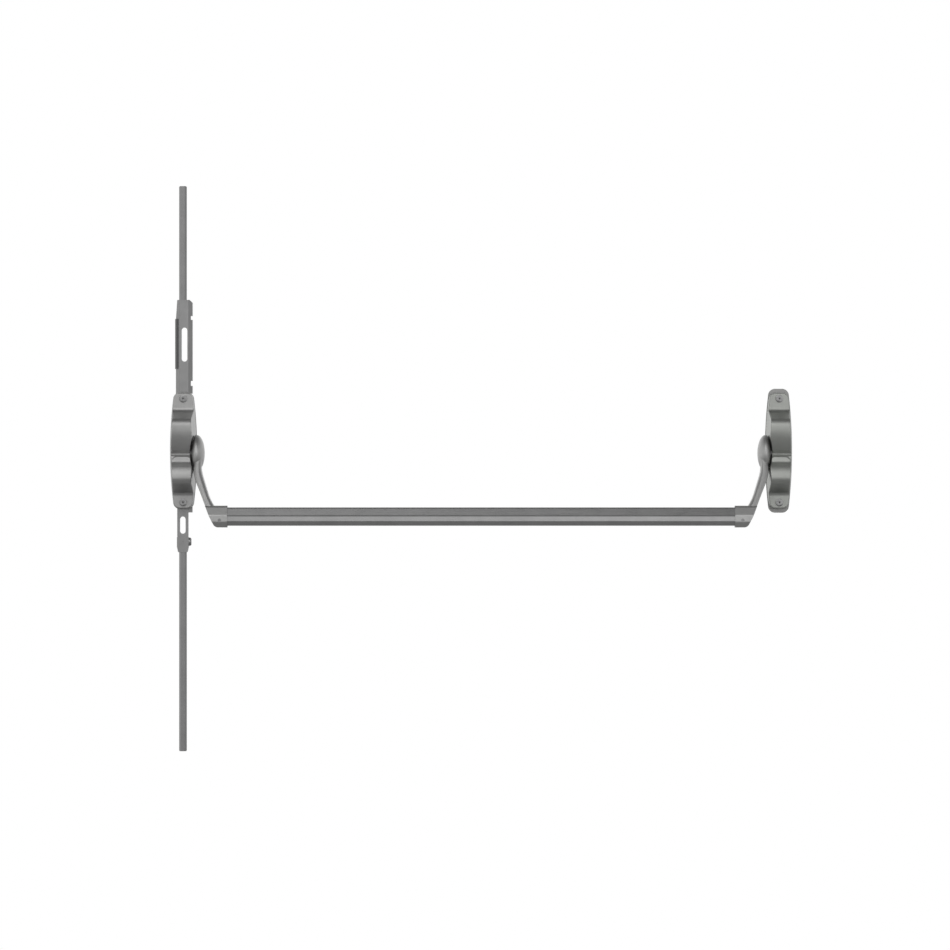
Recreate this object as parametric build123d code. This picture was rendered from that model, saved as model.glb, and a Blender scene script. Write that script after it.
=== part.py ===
from build123d import *
import math
import os

# Crossbar exit device with concealed vertical rods, millimetres.
# The origin lies on the door face behind the active case, level with the lever pivot.
# +X runs along the crossbar to the hinge-side case, +Y into the door, +Z up.
# Everything in front of the door face has a negative Y; depths are measured that way.

os.makedirs("parts", exist_ok=True)

# The two cases and the push
CASE_SPACING = 984.0
PIVOT_DEPTH = 31.5
BAR_DEPTH = 88.0
BAR_DROP = 104.0

# Base plates
PLATE_THICK = 3.0
PLATE_LIP = 6.5
PLATE_EDGE = 0.4

# Covers
COVER_TOP = 100.1
COVER_BOTTOM = 91.9
COVER_MID_WIDTH = 44.0
COVER_END_WIDTH = 31.0
COVER_CORNER_R = 11.0
COVER_WALL = 2.2
COVER_DRAFT = 4.5
COVER_EDGE_R = 1.6
PAD_DEPTH = 18.0
DOME_TIP_DEPTH = 63.0
UPPER_DOME_END = 3.0
UPPER_DOME_CREST = 43.5
UPPER_DOME_TIP = 54.0
UPPER_DOME_FOOT = 70.0
UPPER_DOME_TIP_R = 13.0
LOWER_DOME_END = -5.5
LOWER_DOME_LIP = -15.0
LOWER_DOME_LIP_STEP = 6.0
LOWER_DOME_LIP_R = 6.0
LOWER_DOME_CREST = -39.0
LOWER_DOME_TIP = -47.5
LOWER_DOME_FOOT = -66.0
LOWER_DOME_TIP_R = 11.0
DOME_STEP = 5.0
GROOVE_DEPTH = 3.6
DOME_FOOT_R = 7.0
FOOT_SHIFT = 0.7
UPPER_CORNER_R = 8.0
LOWER_CORNER_R = 12.0

# Cover screws
COVER_SCREW_TOP = 90.0
COVER_SCREW_BOTTOM = -81.5
SCREW_R = 2.5
SCREW_CLEARANCE = 0.3
SCREW_HEAD_R = 6.2
SCREW_HEAD_HEIGHT = 2.6
SCREW_GRIP = 7.0
SCREW_RECESS_DEPTH = 1.6
SCREW_RECESS_WIDTH = 1.2
SCREW_RECESS_REACH = 3.4
PILLAR_R = 4.8

# Mounting holes in the active and hinge-side base plates
BOLT_TOP = 68.5
BOLT_BOTTOM = -68.5
BOLT_HOLE_R = 2.5
BOLT_BOSS_R = 5.5
BOLT_BOSS_HEIGHT = 7.0

# Shafts, bushes and ears
SHAFT_R = 6.0
SHAFT_CLEARANCE = 0.05
SHAFT_HOLE_GAP = 0.6
BUSH_WALL = 1.5
BUSH_FLANGE_R = 9.0
BUSH_FLANGE = 1.0
EAR_THICK = 3.0
EAR_R = 10.0
EAR_FOOT = 26.0
EAR_GAP = 0.5
LEFT_EAR = 13.2
RING_GROOVE_DEPTH = 0.6
RING_THICK = 1.0
RING_WIDTH = 1.8
RING_OPENING = 7.2
SHAFT_TAIL = 0.8
SIDE_PLAY = 0.3

# Lever arms
HUB_DOOR_GAP = 1.5
HUB_BACK_X = 14.5
HUB_RIM_X = 23.5
HUB_CROWN_X = 36.5
HUB_GAP = 1.0
HUB_DISH_GAP = 0.7
HUB_DISH_REACH = 4.2
HUB_BORE_END = 27.0
HUB_SCREW_X = 21.0
HUB_SCREW_BITE = 1.0
ARM_INNER_X = 20.6
ARM_TOP_HALF = 19.5
ARM_END_HALF = 12.0
ARM_WAIST_DROP = 0.19
ARM_BEND = 0.433
ARM_LEAN = 2.7
ARM_WAIST = 4.7
ARM_BEND_WIDTH = 13.9
ARM_FLARE = ((0.28, 12.7), (0.54, 12.6), (0.72, 14.6), (0.88, 15.4))
ARM_ROUNDING = 0.42
ARM_SPREAD = 8.6
ARM_HEEL_X = 0.5
ARM_HEEL_R = 8.0
ARM_TOE_R = 9.0
SOCKET_OPEN_X = 76.8
SOCKET_CLOSED_X = 56.0
SOCKET_WALL = 2.8
SOCKET_FIT = 0.1

# Crossbar
BAR_HEIGHT = 30.0
BAR_WIDTH = 23.0
BAR_WALL = 1.6
BAR_GROOVE_WIDTH = 2.0
BAR_GROOVE_DEPTH = 1.1
BAR_GROOVE_RISE = 1.35
BAR_END_GAP = 0.5
# Corners of the bar's section: share of half its depth, share of half its height, radius.
BAR_CORNERS = (
    (0.35, 1.0, 4.5),
    (1.0, 0.12, 3.0),
    (1.0, -0.52, 2.0),
    (0.45, -1.0, 4.0),
    (-0.55, -1.0, 4.0),
    (-1.0, -0.45, 6.0),
    (-1.0, 0.45, 6.0),
    (-0.55, 1.0, 4.0),
)

# Set screws
SET_SCREW_R = 3.0
SET_SCREW_LENGTH = 7.0
HEX_KEY_SOCKET = 3.0
HEX_KEY_DEPTH = 2.5

# Lift tongue, stop collar and return springs
TONGUE_WIDTH = 7.5
TONGUE_THICK = 6.0
TONGUE_REACH = 47.5
COLLAR_R = 9.5
HEEL_REACH = 24.5
TONGUE_TIP_R = 2.6
HEEL_TIP_R = 1.0
HORN_WIDTH = 5.0
HORN_GAP = 0.1
PIN_R = 1.5
PIN_SINK = 0.3
STOP_GAP = 0.3
STOP_EDGE_R = 1.5
STOP_DEPTH = 7.0
STOP_HEIGHT = 6.0
SPRING_WIRE_R = 0.9
SPRING_WIRE_SIDES = 8
SPRING_COIL_R = 8.2
SPRING_PITCH = 2.0
SPRING_TURNS = 2.5
SPRING_LEG = 12.0
SPRING_LEG_R = 0.95
SPRING_BEND_R = 1.0
SPRING_HOLE_R = 1.3

# Racks and pinion
TRAVEL = 12.0
MODULE = 1.25
PINION_TEETH = 14
PRESSURE_ANGLE = 20.0
ADDENDUM = 0.8
DEDENDUM = 1.0
BACKLASH = 0.3
GEAR_FACE = 6.0
PINION_Z = -40.0
STUD_R = 2.5
STUD_SHOULDER_R = 5.0
CLIP_THICK = 1.0

# Upper slide, its strip and rod
SLIDE_FRONT = 5.0
SLIDE_SHEET = 2.5
SLIDE_WEB = 14.6
SLIDE_WIDTH = 27.6
SLIDE_SHOULDER = 8.0
SLIDE_DEPTH = 17.0
SLIDE_TOP = 254.0
SLIDE_BOTTOM = 99.0
SLOT_WIDTH = 9.3
SLOT_OFFSET = 1.0
SLOT_TOP = 208.0
SLOT_BOTTOM = 151.8
NOTCH_DEPTH = 2.6
NOTCH_UPPER = (221.0, 227.6)
NOTCH_LOWER = (111.7, 120.0)
CORNER_CUT = 5.5
STRIP_THICK = 1.1
STRIP_WIDTH = 3.4
STRIP_START = 2.5
STRIP_REACH = 14.0
STRIP_TOP = 222.6
STRIP_BOTTOM = 139.8
LEFT_TAPER = 2.5
LEFT_TAPER_END = 221.0
ROD_X = -2.0
ROD_FLATS = 11.1
ROD_CHAMFER = 1.0
ROD_STUD_R = 3.2
UPPER_ROD_END = 442.5
ROD_STUD_TAIL = 1.5
ROD_FRONT_GAP = 0.2
BLOCK_TOP = 242.0
BLOCK_HEIGHT = 14.0
BLOCK_WIDTH = 11.6
BLOCK_DEPTH = 13.0
NUT_FLATS = 11.1
NUT_HEIGHT = 6.5
ROD_TAP_R = 2.5
ROD_TAP_DEPTH = 18.0

# Rack legs
LEG_OUTER = 14.0
RACK_GAP = 0.3
RACK_SPARE_TEETH = 2.2
LEG_SIDE_GAP = 1.6
UPPER_RACK_END = -50.0
UPPER_LEG_TOP = 138.0
UPPER_LEG_SHELF = 12.0
LOWER_RACK_SHELF = -87.0
TONGUE_WINDOW_GAP = 0.7
TONGUE_WINDOW_DROP = 2.8
TONGUE_WINDOW_SIDE = 1.0
TONGUE_WINDOW_FRAME = 3.0
PLATE_WINDOW = (-4.0, 12.5)
HEAD_MARGIN = 12.0

# Lower slide, knuckle and rod
YOKE_WIDTH = 18.5
YOKE_SLOT = 9.3
YOKE_SLOT_TOP = -104.8
YOKE_SLOT_BOTTOM = -133.2
YOKE_END = -137.6
TENON_WIDTH = 11.0
TENON_THICK = 4.0
TENON_CLEARANCE = 0.15
TENON_BELOW_PIN = 6.0
KNUCKLE_END = -164.0
KNUCKLE_DEPTH = 14.0
KNUCKLE_BOSS_X = 11.9
KNUCKLE_BOSS_R = 6.9
KNUCKLE_BOSS_CHAMFER = 1.6
KNUCKLE_SHOULDER = 0.4
KNUCKLE_END_WALL = 2.2
KNUCKLE_TAPER_DROP = 8.0
KNUCKLE_EDGE_R = 2.0
KNUCKLE_TAP_DROP = 7.5
KNUCKLE_PIN_Z = -146.5
KNUCKLE_PIN_R = 2.0
KNUCKLE_PIN_PROUD = 0.4
LOCK_SCREW_SINK = 0.8
LOWER_ROD_END = -493.5

# Guides behind the active base plate
STRAP_THICK = 2.0
STRAP_HEIGHT = 8.0
STRAP_GAP = 0.3
STRAP_UPPER = 44.0
STRAP_LOWER = -57.5
PAD_FIT = 0.2

# Sizes worked out from the ones above
HUB_R = PIVOT_DEPTH - HUB_DOOR_GAP
WAIST_DEPTH = PIVOT_DEPTH + EAR_R + EAR_GAP + COVER_WALL
PITCH_R = MODULE * PINION_TEETH / 2
PITCH = math.pi * MODULE
LAYER_FRONT = SLIDE_FRONT + SLIDE_SHEET
LAYER_BACK = LAYER_FRONT + GEAR_FACE
LAYER_MID = (LAYER_FRONT + LAYER_BACK) / 2
ROD_Y = LAYER_FRONT + ROD_FLATS / 2 + ROD_FRONT_GAP
RIGHT_EAR = HUB_BACK_X - HUB_GAP - COVER_WALL - EAR_GAP
TONGUE_RIGHT = RIGHT_EAR - EAR_THICK - BUSH_FLANGE - SIDE_PLAY
TONGUE_LEFT = TONGUE_RIGHT - TONGUE_WIDTH
TONGUE_MID = (TONGUE_RIGHT + TONGUE_LEFT) / 2
WINDOW_LEFT = TONGUE_LEFT - TONGUE_WINDOW_SIDE
WINDOW_RIGHT = TONGUE_RIGHT + TONGUE_WINDOW_SIDE
FAR = 400.0

# Drawing planes: FRONT has X across and Z up, SIDE has depth across and Z up.
FRONT = Plane(origin=(0, 0, 0), x_dir=(1, 0, 0), z_dir=(0, -1, 0))
SIDE = Plane(origin=(0, 0, 0), x_dir=(0, -1, 0), z_dir=(-1, 0, 0))


def save(node, *solids):
    """Write one sub-part; several solids stay separate in one node."""
    shape = solids[0] if len(solids) == 1 else Compound(children=list(solids))
    export_step(shape, f"parts/{node}.step")


def block(x, y, z):
    """A box from its limits along each axis."""
    size = [b - a for a, b in (x, y, z)]
    middle = [(a + b) / 2 for a, b in (x, y, z)]
    return Pos(*middle) * Box(*size)


def rod_along(axis, start, end, radius):
    """A round bar along X, Y or Z between two points."""
    turn = {"X": Rot(0, 90, 0), "Y": Rot(-90, 0, 0), "Z": Rot(0, 0, 0)}[axis]
    length = math.dist(start, end)
    middle = [(a + b) / 2 for a, b in zip(start, end)]
    return Pos(*middle) * turn * Cylinder(radius, length)


def on_pivot(start, end, radius):
    """A round bar about the levers' pivot line."""
    return rod_along("X", (start, -PIVOT_DEPTH, 0), (end, -PIVOT_DEPTH, 0), radius)


def on_rod(low, high, radius):
    """A round bar on the rods' axis."""
    return rod_along("Z", (ROD_X, ROD_Y, low), (ROD_X, ROD_Y, high), radius)


def on_stud(front, back, radius):
    """A round bar on the pinion's axis."""
    return rod_along("Y", (0, front, PINION_Z), (0, back, PINION_Z), radius)


def prism_front(face, front_depth, back_depth=-FAR):
    """Extrude a face drawn on FRONT between two depths."""
    return extrude(Pos(0, -back_depth, 0) * (FRONT * face), amount=front_depth - back_depth)


def prism_side(face, half=FAR):
    """Extrude a face drawn on SIDE both ways along X."""
    return extrude(SIDE * face, amount=half, both=True)


def polygon(*points):
    return make_face(Polyline(*points, close=True))


def round_corners(face, radii):
    """Round chosen corners of a face; radii maps a corner's place to its radius."""
    for place, radius in radii.items():
        corner = min(face.vertices(), key=lambda v: math.dist((v.X, v.Y), place))
        face = fillet(corner, radius)
    return face


def to_hinge(shape):
    """The same piece for the hinge-side case, mirrored."""
    return Pos(CASE_SPACING, 0, 0) * mirror(shape, about=Plane.YZ)


def barrel(top, bottom, mid_width, end_width, corner):
    """Front outline of a case: bowed sides, flat ends and round corners."""
    half_end, half_mid = end_width / 2, mid_width / 2
    middle = (top + bottom) / 2
    right = ThreePointArc((half_end, top), (half_mid, middle), (half_end, bottom))
    left = ThreePointArc((-half_end, bottom), (-half_mid, middle), (-half_end, top))
    upper = Line((-half_end, top), (half_end, top))
    lower = Line((half_end, bottom), (-half_end, bottom))
    face = make_face([right, lower, left, upper])
    return fillet(face.vertices(), corner)


def crown_arc(start, crest_z, inset, edge_depth, edge_z):
    """Bulging front of a dome, level at its crest; drawn in depth and height, set in by the wall.

    start is the outer form's edge. The inner one keeps the same centre and begins at edge_depth
    or, where the arc is cut by the dome's end, at the height edge_z.
    """
    sag = DOME_TIP_DEPTH - start[0]
    rise = start[1] - crest_z
    radius = (sag**2 + rise**2) / (2 * sag)
    centre = DOME_TIP_DEPTH - radius
    inner = radius - inset
    side = 1 if rise > 0 else -1
    if side > 0:
        height = math.sqrt(inner**2 - (edge_depth - centre) ** 2)
        begin = (edge_depth, crest_z + height)
    else:
        begin = (centre + math.sqrt(inner**2 - (edge_z - crest_z) ** 2), edge_z)
    angle = math.atan2(begin[1] - crest_z, begin[0] - centre) / 2
    middle = (centre + inner * math.cos(angle), crest_z + inner * math.sin(angle))
    return ThreePointArc(begin, middle, (centre + inner, crest_z))


def cover_form(inset):
    """The cover's outer form, or its hollow when inset by the wall."""
    outline = barrel(
        COVER_TOP - inset,
        -COVER_BOTTOM + inset,
        COVER_MID_WIDTH - 2 * inset,
        COVER_END_WIDTH - 2 * inset,
        COVER_CORNER_R - inset,
    )
    drafted = extrude(Pos(0, -PLATE_THICK, 0) * (FRONT * outline), amount=DOME_TIP_DEPTH, taper=COVER_DRAFT)

    pad = PAD_DEPTH - inset
    waist = WAIST_DEPTH - inset
    groove_lip = waist + GROOVE_DEPTH
    over = 30.0
    waist_zone = polygon(
        (-over, COVER_TOP + over),
        (pad, COVER_TOP + over),
        (pad, UPPER_DOME_FOOT / 2),
        (groove_lip, UPPER_DOME_FOOT / 4),
        (groove_lip, UPPER_DOME_END),
        (waist, (UPPER_DOME_END + LOWER_DOME_END) / 2),
        (groove_lip, LOWER_DOME_END),
        (groove_lip, LOWER_DOME_FOOT / 4),
        (pad, LOWER_DOME_FOOT / 2),
        (pad, -COVER_BOTTOM - over),
        (-over, -COVER_BOTTOM - over),
    )
    form = prism_side(waist_zone)

    upper_end = UPPER_DOME_END + inset
    lower_end = LOWER_DOME_END - inset
    front = DOME_TIP_DEPTH - inset
    edge = waist + DOME_STEP
    upper_foot = (pad, UPPER_DOME_FOOT - inset * FOOT_SHIFT)
    upper_tip = (front, UPPER_DOME_TIP - inset * FOOT_SHIFT)
    crown = crown_arc((WAIST_DEPTH + DOME_STEP, UPPER_DOME_END), UPPER_DOME_CREST, inset, edge, upper_end)
    upper = make_face([
        Line((-over, upper_end), crown @ 0),
        crown,
        Line(crown @ 1, upper_tip),
        Line(upper_tip, upper_foot),
        Line(upper_foot, (pad, COVER_TOP + over)),
        Line((pad, COVER_TOP + over), (-over, COVER_TOP + over)),
        Line((-over, COVER_TOP + over), (-over, upper_end)),
    ])
    upper = round_corners(upper, {
        tuple(crown @ 0)[:2]: COVER_EDGE_R,
        upper_tip: UPPER_DOME_TIP_R - inset,
        upper_foot: DOME_FOOT_R + inset,
    })

    lip_depth = WAIST_DEPTH + LOWER_DOME_LIP_STEP
    lower_tip = (front, LOWER_DOME_TIP + inset * FOOT_SHIFT)
    lower_foot = (pad, LOWER_DOME_FOOT + inset * FOOT_SHIFT)
    crown = crown_arc((lip_depth, LOWER_DOME_LIP), LOWER_DOME_CREST, inset, lip_depth - inset, LOWER_DOME_LIP)
    lower = make_face([
        Line((-over, lower_end), (edge, lower_end)),
        Line((edge, lower_end), crown @ 0),
        crown,
        Line(crown @ 1, lower_tip),
        Line(lower_tip, lower_foot),
        Line(lower_foot, (pad, -COVER_BOTTOM - over)),
        Line((pad, -COVER_BOTTOM - over), (-over, -COVER_BOTTOM - over)),
        Line((-over, -COVER_BOTTOM - over), (-over, lower_end)),
    ])
    lower = round_corners(lower, {
        (edge, lower_end): COVER_EDGE_R,
        tuple(crown @ 0)[:2]: LOWER_DOME_LIP_R + inset,
        lower_tip: LOWER_DOME_TIP_R - inset,
        lower_foot: DOME_FOOT_R + inset,
    })

    # Above the waist each dome ends in a tongue with round corners.
    half = COVER_MID_WIDTH / 2 - WAIST_DEPTH * math.tan(math.radians(COVER_DRAFT)) - inset
    below_waist = block((-FAR, FAR), (-waist, FAR), (-FAR, FAR))
    tongues = ((upper, upper_end, FAR, UPPER_CORNER_R), (lower, lower_end, -FAR, LOWER_CORNER_R))
    for profile, end, far, corner in tongues:
        tongue = polygon((-half, end), (half, end), (half, far), (-half, far))
        radius = corner - inset
        tongue = round_corners(tongue, {(-half, end): radius, (half, end): radius})
        form += prism_side(profile) & (prism_front(tongue, FAR) + below_waist)
    return drafted & form


def hub_notch(inset):
    """The lens-shaped pocket in a cover that the lever hub turns in."""
    gap = HUB_GAP + inset
    return prism_front(Pos(HUB_RIM_X, 0) * Ellipse(HUB_RIM_X - HUB_BACK_X + gap, HUB_R + gap), FAR)


def screw_places():
    return (COVER_SCREW_TOP, COVER_SCREW_BOTTOM)


def make_cover():
    outer = cover_form(0) - hub_notch(0)
    hollow = cover_form(COVER_WALL) - hub_notch(COVER_WALL)
    cover = outer - hollow
    for z in screw_places():
        cover -= rod_along("Y", (0, -PAD_DEPTH - 5, z), (0, -PLATE_THICK, z), SCREW_R + SCREW_CLEARANCE)
    # The shaft passes through the wall of the hub's pocket.
    cover -= on_pivot(HUB_BACK_X - HUB_GAP - COVER_WALL - 1, HUB_RIM_X, SHAFT_R + SHAFT_HOLE_GAP)
    return cover


def make_cover_screws():
    """Truss-head machine screws with a cross recess."""
    screws = []
    for z in screw_places():
        head_back = -PAD_DEPTH
        shank = rod_along("Y", (0, head_back, z), (0, head_back + COVER_WALL + SCREW_GRIP, z), SCREW_R)
        dome_r = (SCREW_HEAD_R**2 + SCREW_HEAD_HEIGHT**2) / (2 * SCREW_HEAD_HEIGHT)
        ball = Pos(0, head_back - SCREW_HEAD_HEIGHT + dome_r, z) * Sphere(dome_r)
        head = ball & block((-FAR, FAR), (-FAR, head_back), (-FAR, FAR))
        half, reach = SCREW_RECESS_WIDTH / 2, SCREW_RECESS_REACH
        cut_back = head_back - SCREW_HEAD_HEIGHT + SCREW_RECESS_DEPTH
        recess = block((-reach, reach), (-FAR, cut_back), (z - half, z + half))
        recess += block((-half, half), (-FAR, cut_back), (z - reach, z + reach))
        screws.append(shank + head - recess)
    return screws


def base_plate_outline(lip):
    return barrel(
        COVER_TOP + lip,
        -COVER_BOTTOM - lip,
        COVER_MID_WIDTH + 2 * PLATE_EDGE,
        COVER_END_WIDTH + 2 * PLATE_EDGE,
        COVER_CORNER_R + PLATE_EDGE,
    )


def ear(x_low, x_high):
    """A bearing ear: wide foot on the plate, round head about the shaft."""
    foot = EAR_FOOT / 2
    base = PLATE_THICK - 1
    sides = polygon((base, -foot), (PIVOT_DEPTH, -EAR_R), (PIVOT_DEPTH, EAR_R), (base, foot))
    web = extrude(Pos(x_high, 0, 0) * (SIDE * sides), amount=x_high - x_low)
    head = on_pivot(x_low, x_high, EAR_R)
    return web + head


def make_base_plate(lip):
    """Cast plate with two bearing ears, two screw pillars and two tapped bosses."""
    plate = prism_front(base_plate_outline(lip), PLATE_THICK, 0)
    plate += ear(RIGHT_EAR - EAR_THICK, RIGHT_EAR) + ear(-LEFT_EAR, -LEFT_EAR + EAR_THICK)
    for z in screw_places():
        plate += rod_along("Y", (0, -PAD_DEPTH + COVER_WALL, z), (0, -PLATE_THICK + 1, z), PILLAR_R)
        plate -= rod_along("Y", (0, -PAD_DEPTH, z), (0, -PAD_DEPTH + COVER_WALL + SCREW_GRIP, z), SCREW_R)
    for z in (BOLT_TOP, BOLT_BOTTOM):
        plate += rod_along("Y", (0, -PLATE_THICK - BOLT_BOSS_HEIGHT, z), (0, -PLATE_THICK + 1, z), BOLT_BOSS_R)
        plate -= rod_along("Y", (0, -FAR, z), (0, FAR, z), BOLT_HOLE_R)
    plate -= on_pivot(-FAR, FAR, SHAFT_R + SHAFT_CLEARANCE + BUSH_WALL)
    # The hub's rim turns in a shallow dish in the plate's edge.
    plate -= on_pivot(HUB_RIM_X - HUB_DISH_REACH, HUB_CROWN_X, HUB_R + HUB_DISH_GAP)
    x, z = spring_x_start(), -SPRING_COIL_R
    plate -= rod_along("Y", (x, -FAR, z), (x, FAR, z), SPRING_HOLE_R)
    return plate


def make_bushes():
    """Flanged bearing bushes, flanges on the inner faces of the ears."""
    bore = SHAFT_R + SHAFT_CLEARANCE
    bushes = []
    for inner, outer in ((RIGHT_EAR - EAR_THICK, RIGHT_EAR), (-LEFT_EAR + EAR_THICK, -LEFT_EAR)):
        toward = -1 if outer > inner else 1
        flange_end = inner + toward * BUSH_FLANGE
        sleeve = on_pivot(inner, outer, bore + BUSH_WALL)
        flange = on_pivot(inner, flange_end, BUSH_FLANGE_R)
        hole = on_pivot(-FAR, FAR, bore)
        bushes.append(sleeve + flange - hole)
    return bushes


def spring_x_start():
    return -LEFT_EAR + EAR_THICK + BUSH_FLANGE + SIDE_PLAY + SPRING_WIRE_R


def spring_x_end():
    return spring_x_start() + SPRING_PITCH * SPRING_TURNS


def make_spring():
    """Torsion spring about the shaft: one leg in the plate's hole, one across the tongue's horn."""
    low, high = -SPRING_COIL_R, SPRING_COIL_R
    helix = Helix(SPRING_PITCH, SPRING_PITCH * SPRING_TURNS, SPRING_COIL_R, lefthand=True)
    # The helix is laid along X; it starts below the shaft and ends above it.
    helix = Pos(spring_x_start(), -PIVOT_DEPTH, 0) * Rot(0, 90, 0) * helix
    section = Plane(origin=helix @ 0, z_dir=helix % 0) * RegularPolygon(SPRING_WIRE_R, SPRING_WIRE_SIDES)
    spring = sweep(section, path=helix, is_frenet=True)
    corner_y = -PIVOT_DEPTH + SPRING_LEG
    starts = [
        ("Y", (spring_x_start(), -PIVOT_DEPTH, low), (spring_x_start(), -0.3, low)),
        ("Y", (spring_x_end(), -PIVOT_DEPTH, high), (spring_x_end(), corner_y, high)),
        ("X", (spring_x_end(), corner_y, high), (TONGUE_MID + 2, corner_y, high)),
    ]
    for axis, a, b in starts:
        spring += rod_along(axis, a, b, SPRING_LEG_R)
    for place in (starts[0][1], starts[1][1], starts[2][1]):
        spring += Pos(*place) * Sphere(SPRING_BEND_R)
    return spring


def make_shaft():
    """Round shaft from the hub's bore to just past the left ear, with a ring groove."""
    end = -LEFT_EAR - RING_THICK - SHAFT_TAIL
    shaft = on_pivot(end, HUB_BORE_END, SHAFT_R)
    groove_start = -LEFT_EAR - SIDE_PLAY / 2
    groove_end = groove_start - RING_THICK
    ring = on_pivot(groove_start, groove_end, SHAFT_R + 2)
    ring -= on_pivot(groove_start, groove_end, SHAFT_R - RING_GROOVE_DEPTH)
    return shaft - ring - collar_pin() - hub_screw_body()


def make_ring():
    """External retaining ring in the shaft's groove, open towards the cover."""
    start = -LEFT_EAR - SIDE_PLAY / 2
    end = start - RING_THICK
    ring = on_pivot(start, end, SHAFT_R + RING_WIDTH)
    ring -= on_pivot(start, end, SHAFT_R - RING_GROOVE_DEPTH)
    ring -= block((end - 1, start + 1), (-PIVOT_DEPTH - FAR, -PIVOT_DEPTH), (-RING_OPENING / 2, RING_OPENING / 2))
    return ring


def collar_pin():
    """Cross pin through collar and shaft, along Z."""
    reach = COLLAR_R - PIN_SINK
    return rod_along("Z", (TONGUE_MID, -PIVOT_DEPTH, -reach), (TONGUE_MID, -PIVOT_DEPTH, reach), PIN_R)


def make_collar(reach, tip_r):
    """Collar on the shaft with a tongue or heel that points at the door."""
    collar = on_pivot(TONGUE_LEFT, TONGUE_RIGHT, COLLAR_R)
    half = TONGUE_THICK / 2
    tip = PIVOT_DEPTH - reach
    tongue = polygon((PIVOT_DEPTH, -half), (tip, -half), (tip, half), (PIVOT_DEPTH, half))
    tongue = round_corners(tongue, {(tip, -half): tip_r, (tip, half): tip_r})
    collar += extrude(Pos(TONGUE_RIGHT, 0, 0) * (SIDE * tongue), amount=TONGUE_WIDTH)
    horn_y = -PIVOT_DEPTH + SPRING_LEG
    horn_top = SPRING_COIL_R - SPRING_WIRE_R - HORN_GAP
    horn = (horn_y - HORN_WIDTH / 2, horn_y + HORN_WIDTH / 2)
    collar += block((TONGUE_LEFT, TONGUE_RIGHT), horn, (0, horn_top))
    collar -= on_pivot(-FAR, FAR, SHAFT_R)
    return collar - collar_pin()


def make_stop():
    """Rubber block on the plate that the tongue or heel comes to rest on."""
    top = -TONGUE_THICK / 2 - STOP_GAP
    depth = (-PLATE_THICK - STOP_DEPTH, -PLATE_THICK)
    stop = block((TONGUE_LEFT, TONGUE_RIGHT), depth, (top - STOP_HEIGHT, top))
    edges = stop.edges().filter_by(Axis.X).sort_by(Axis.Y)[:2]
    return fillet(edges, STOP_EDGE_R)


def hub_solid():
    """Turned form of the lever's hub: a lens with a flatter back and a domed face."""
    centre = (HUB_RIM_X, 0)
    dome = EllipticalCenterArc(centre, HUB_CROWN_X - HUB_RIM_X, HUB_R, start_angle=0, arc_size=90)
    back = EllipticalCenterArc(centre, HUB_RIM_X - HUB_BACK_X, HUB_R, start_angle=90, arc_size=90)
    axis = Line((HUB_BACK_X, 0), (HUB_CROWN_X, 0))
    return Pos(0, -PIVOT_DEPTH, 0) * revolve(make_face([dome, back, axis]), Axis.X)


def bar_section(grow):
    """Crossbar outline in depth and height: two tilted faces, a flat one and round edges."""
    half_height, half_width = BAR_HEIGHT / 2 + grow, BAR_WIDTH / 2 + grow
    corners = {(across * half_width, up * half_height): radius + grow for across, up, radius in BAR_CORNERS}
    rounded = round_corners(polygon(*corners), corners)
    return Pos(BAR_DEPTH, -BAR_DROP) * rounded


def along_bar(face, start, end):
    """Extrude a face drawn on SIDE along X from start to end."""
    return extrude(Pos(end, 0, 0) * (SIDE * face), amount=end - start)


def bar_groove(grow):
    """Tapered groove along the bar's front, or the fold that it leaves inside the tube."""
    middle = -BAR_DROP + BAR_GROOVE_RISE
    front = BAR_DEPTH + BAR_WIDTH / 2
    bottom = front - BAR_GROOVE_DEPTH - grow
    mouth, floor = BAR_GROOVE_WIDTH / 2 + grow, BAR_GROOVE_WIDTH / 4 + grow / 2
    over = front + BAR_WIDTH / 2
    return polygon(
        (over, middle - mouth),
        (over, middle + mouth),
        (bottom, middle + floor),
        (bottom, middle - floor),
    )


def make_bar():
    """Formed tube with a groove along its front, just above the middle."""
    start = SOCKET_CLOSED_X + BAR_END_GAP
    end = CASE_SPACING - start
    bar = along_bar(bar_section(0), start, end)
    bar -= along_bar(bar_groove(0), start, end)
    inner = along_bar(bar_section(-BAR_WALL), start, end) - along_bar(bar_groove(BAR_WALL), start, end)
    bar -= inner
    return bar - socket_screw() - to_hinge(socket_screw())


def key_face():
    """Hexagon of a set screw's key socket."""
    return RegularPolygon(HEX_KEY_SOCKET / 2, 6, major_radius=False)


def socket_screw_place():
    """Place of the socket's set screw along X and Z, on the lower front face."""
    return (SOCKET_CLOSED_X + SOCKET_OPEN_X) / 2 - 2.0, -BAR_DROP - BAR_HEIGHT * 0.2


def socket_screw():
    """Set screw through the socket's front wall into the bar's wall."""
    x, z = socket_screw_place()
    front = -(BAR_DEPTH + BAR_WIDTH / 2 + SOCKET_WALL)
    screw = rod_along("Y", (x, front, z), (x, front + SET_SCREW_LENGTH, z), SET_SCREW_R)
    key = extrude(Pos(x, front, z) * Rot(90, 0, 0) * key_face(), amount=-HEX_KEY_DEPTH)
    return screw - key


def hub_screw_body():
    inner = -PIVOT_DEPTH + SHAFT_R - HUB_SCREW_BITE
    return rod_along("Y", (HUB_SCREW_X, inner, 0), (HUB_SCREW_X, inner + SET_SCREW_LENGTH, 0), SET_SCREW_R)


def hub_screw():
    """Set screw in the back of the hub, biting a flat drilled in the shaft."""
    outer = -PIVOT_DEPTH + SHAFT_R - HUB_SCREW_BITE + SET_SCREW_LENGTH
    key = extrude(Pos(HUB_SCREW_X, outer, 0) * Rot(90, 0, 0) * key_face(), amount=HEX_KEY_DEPTH)
    return hub_screw_body() - key


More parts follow.
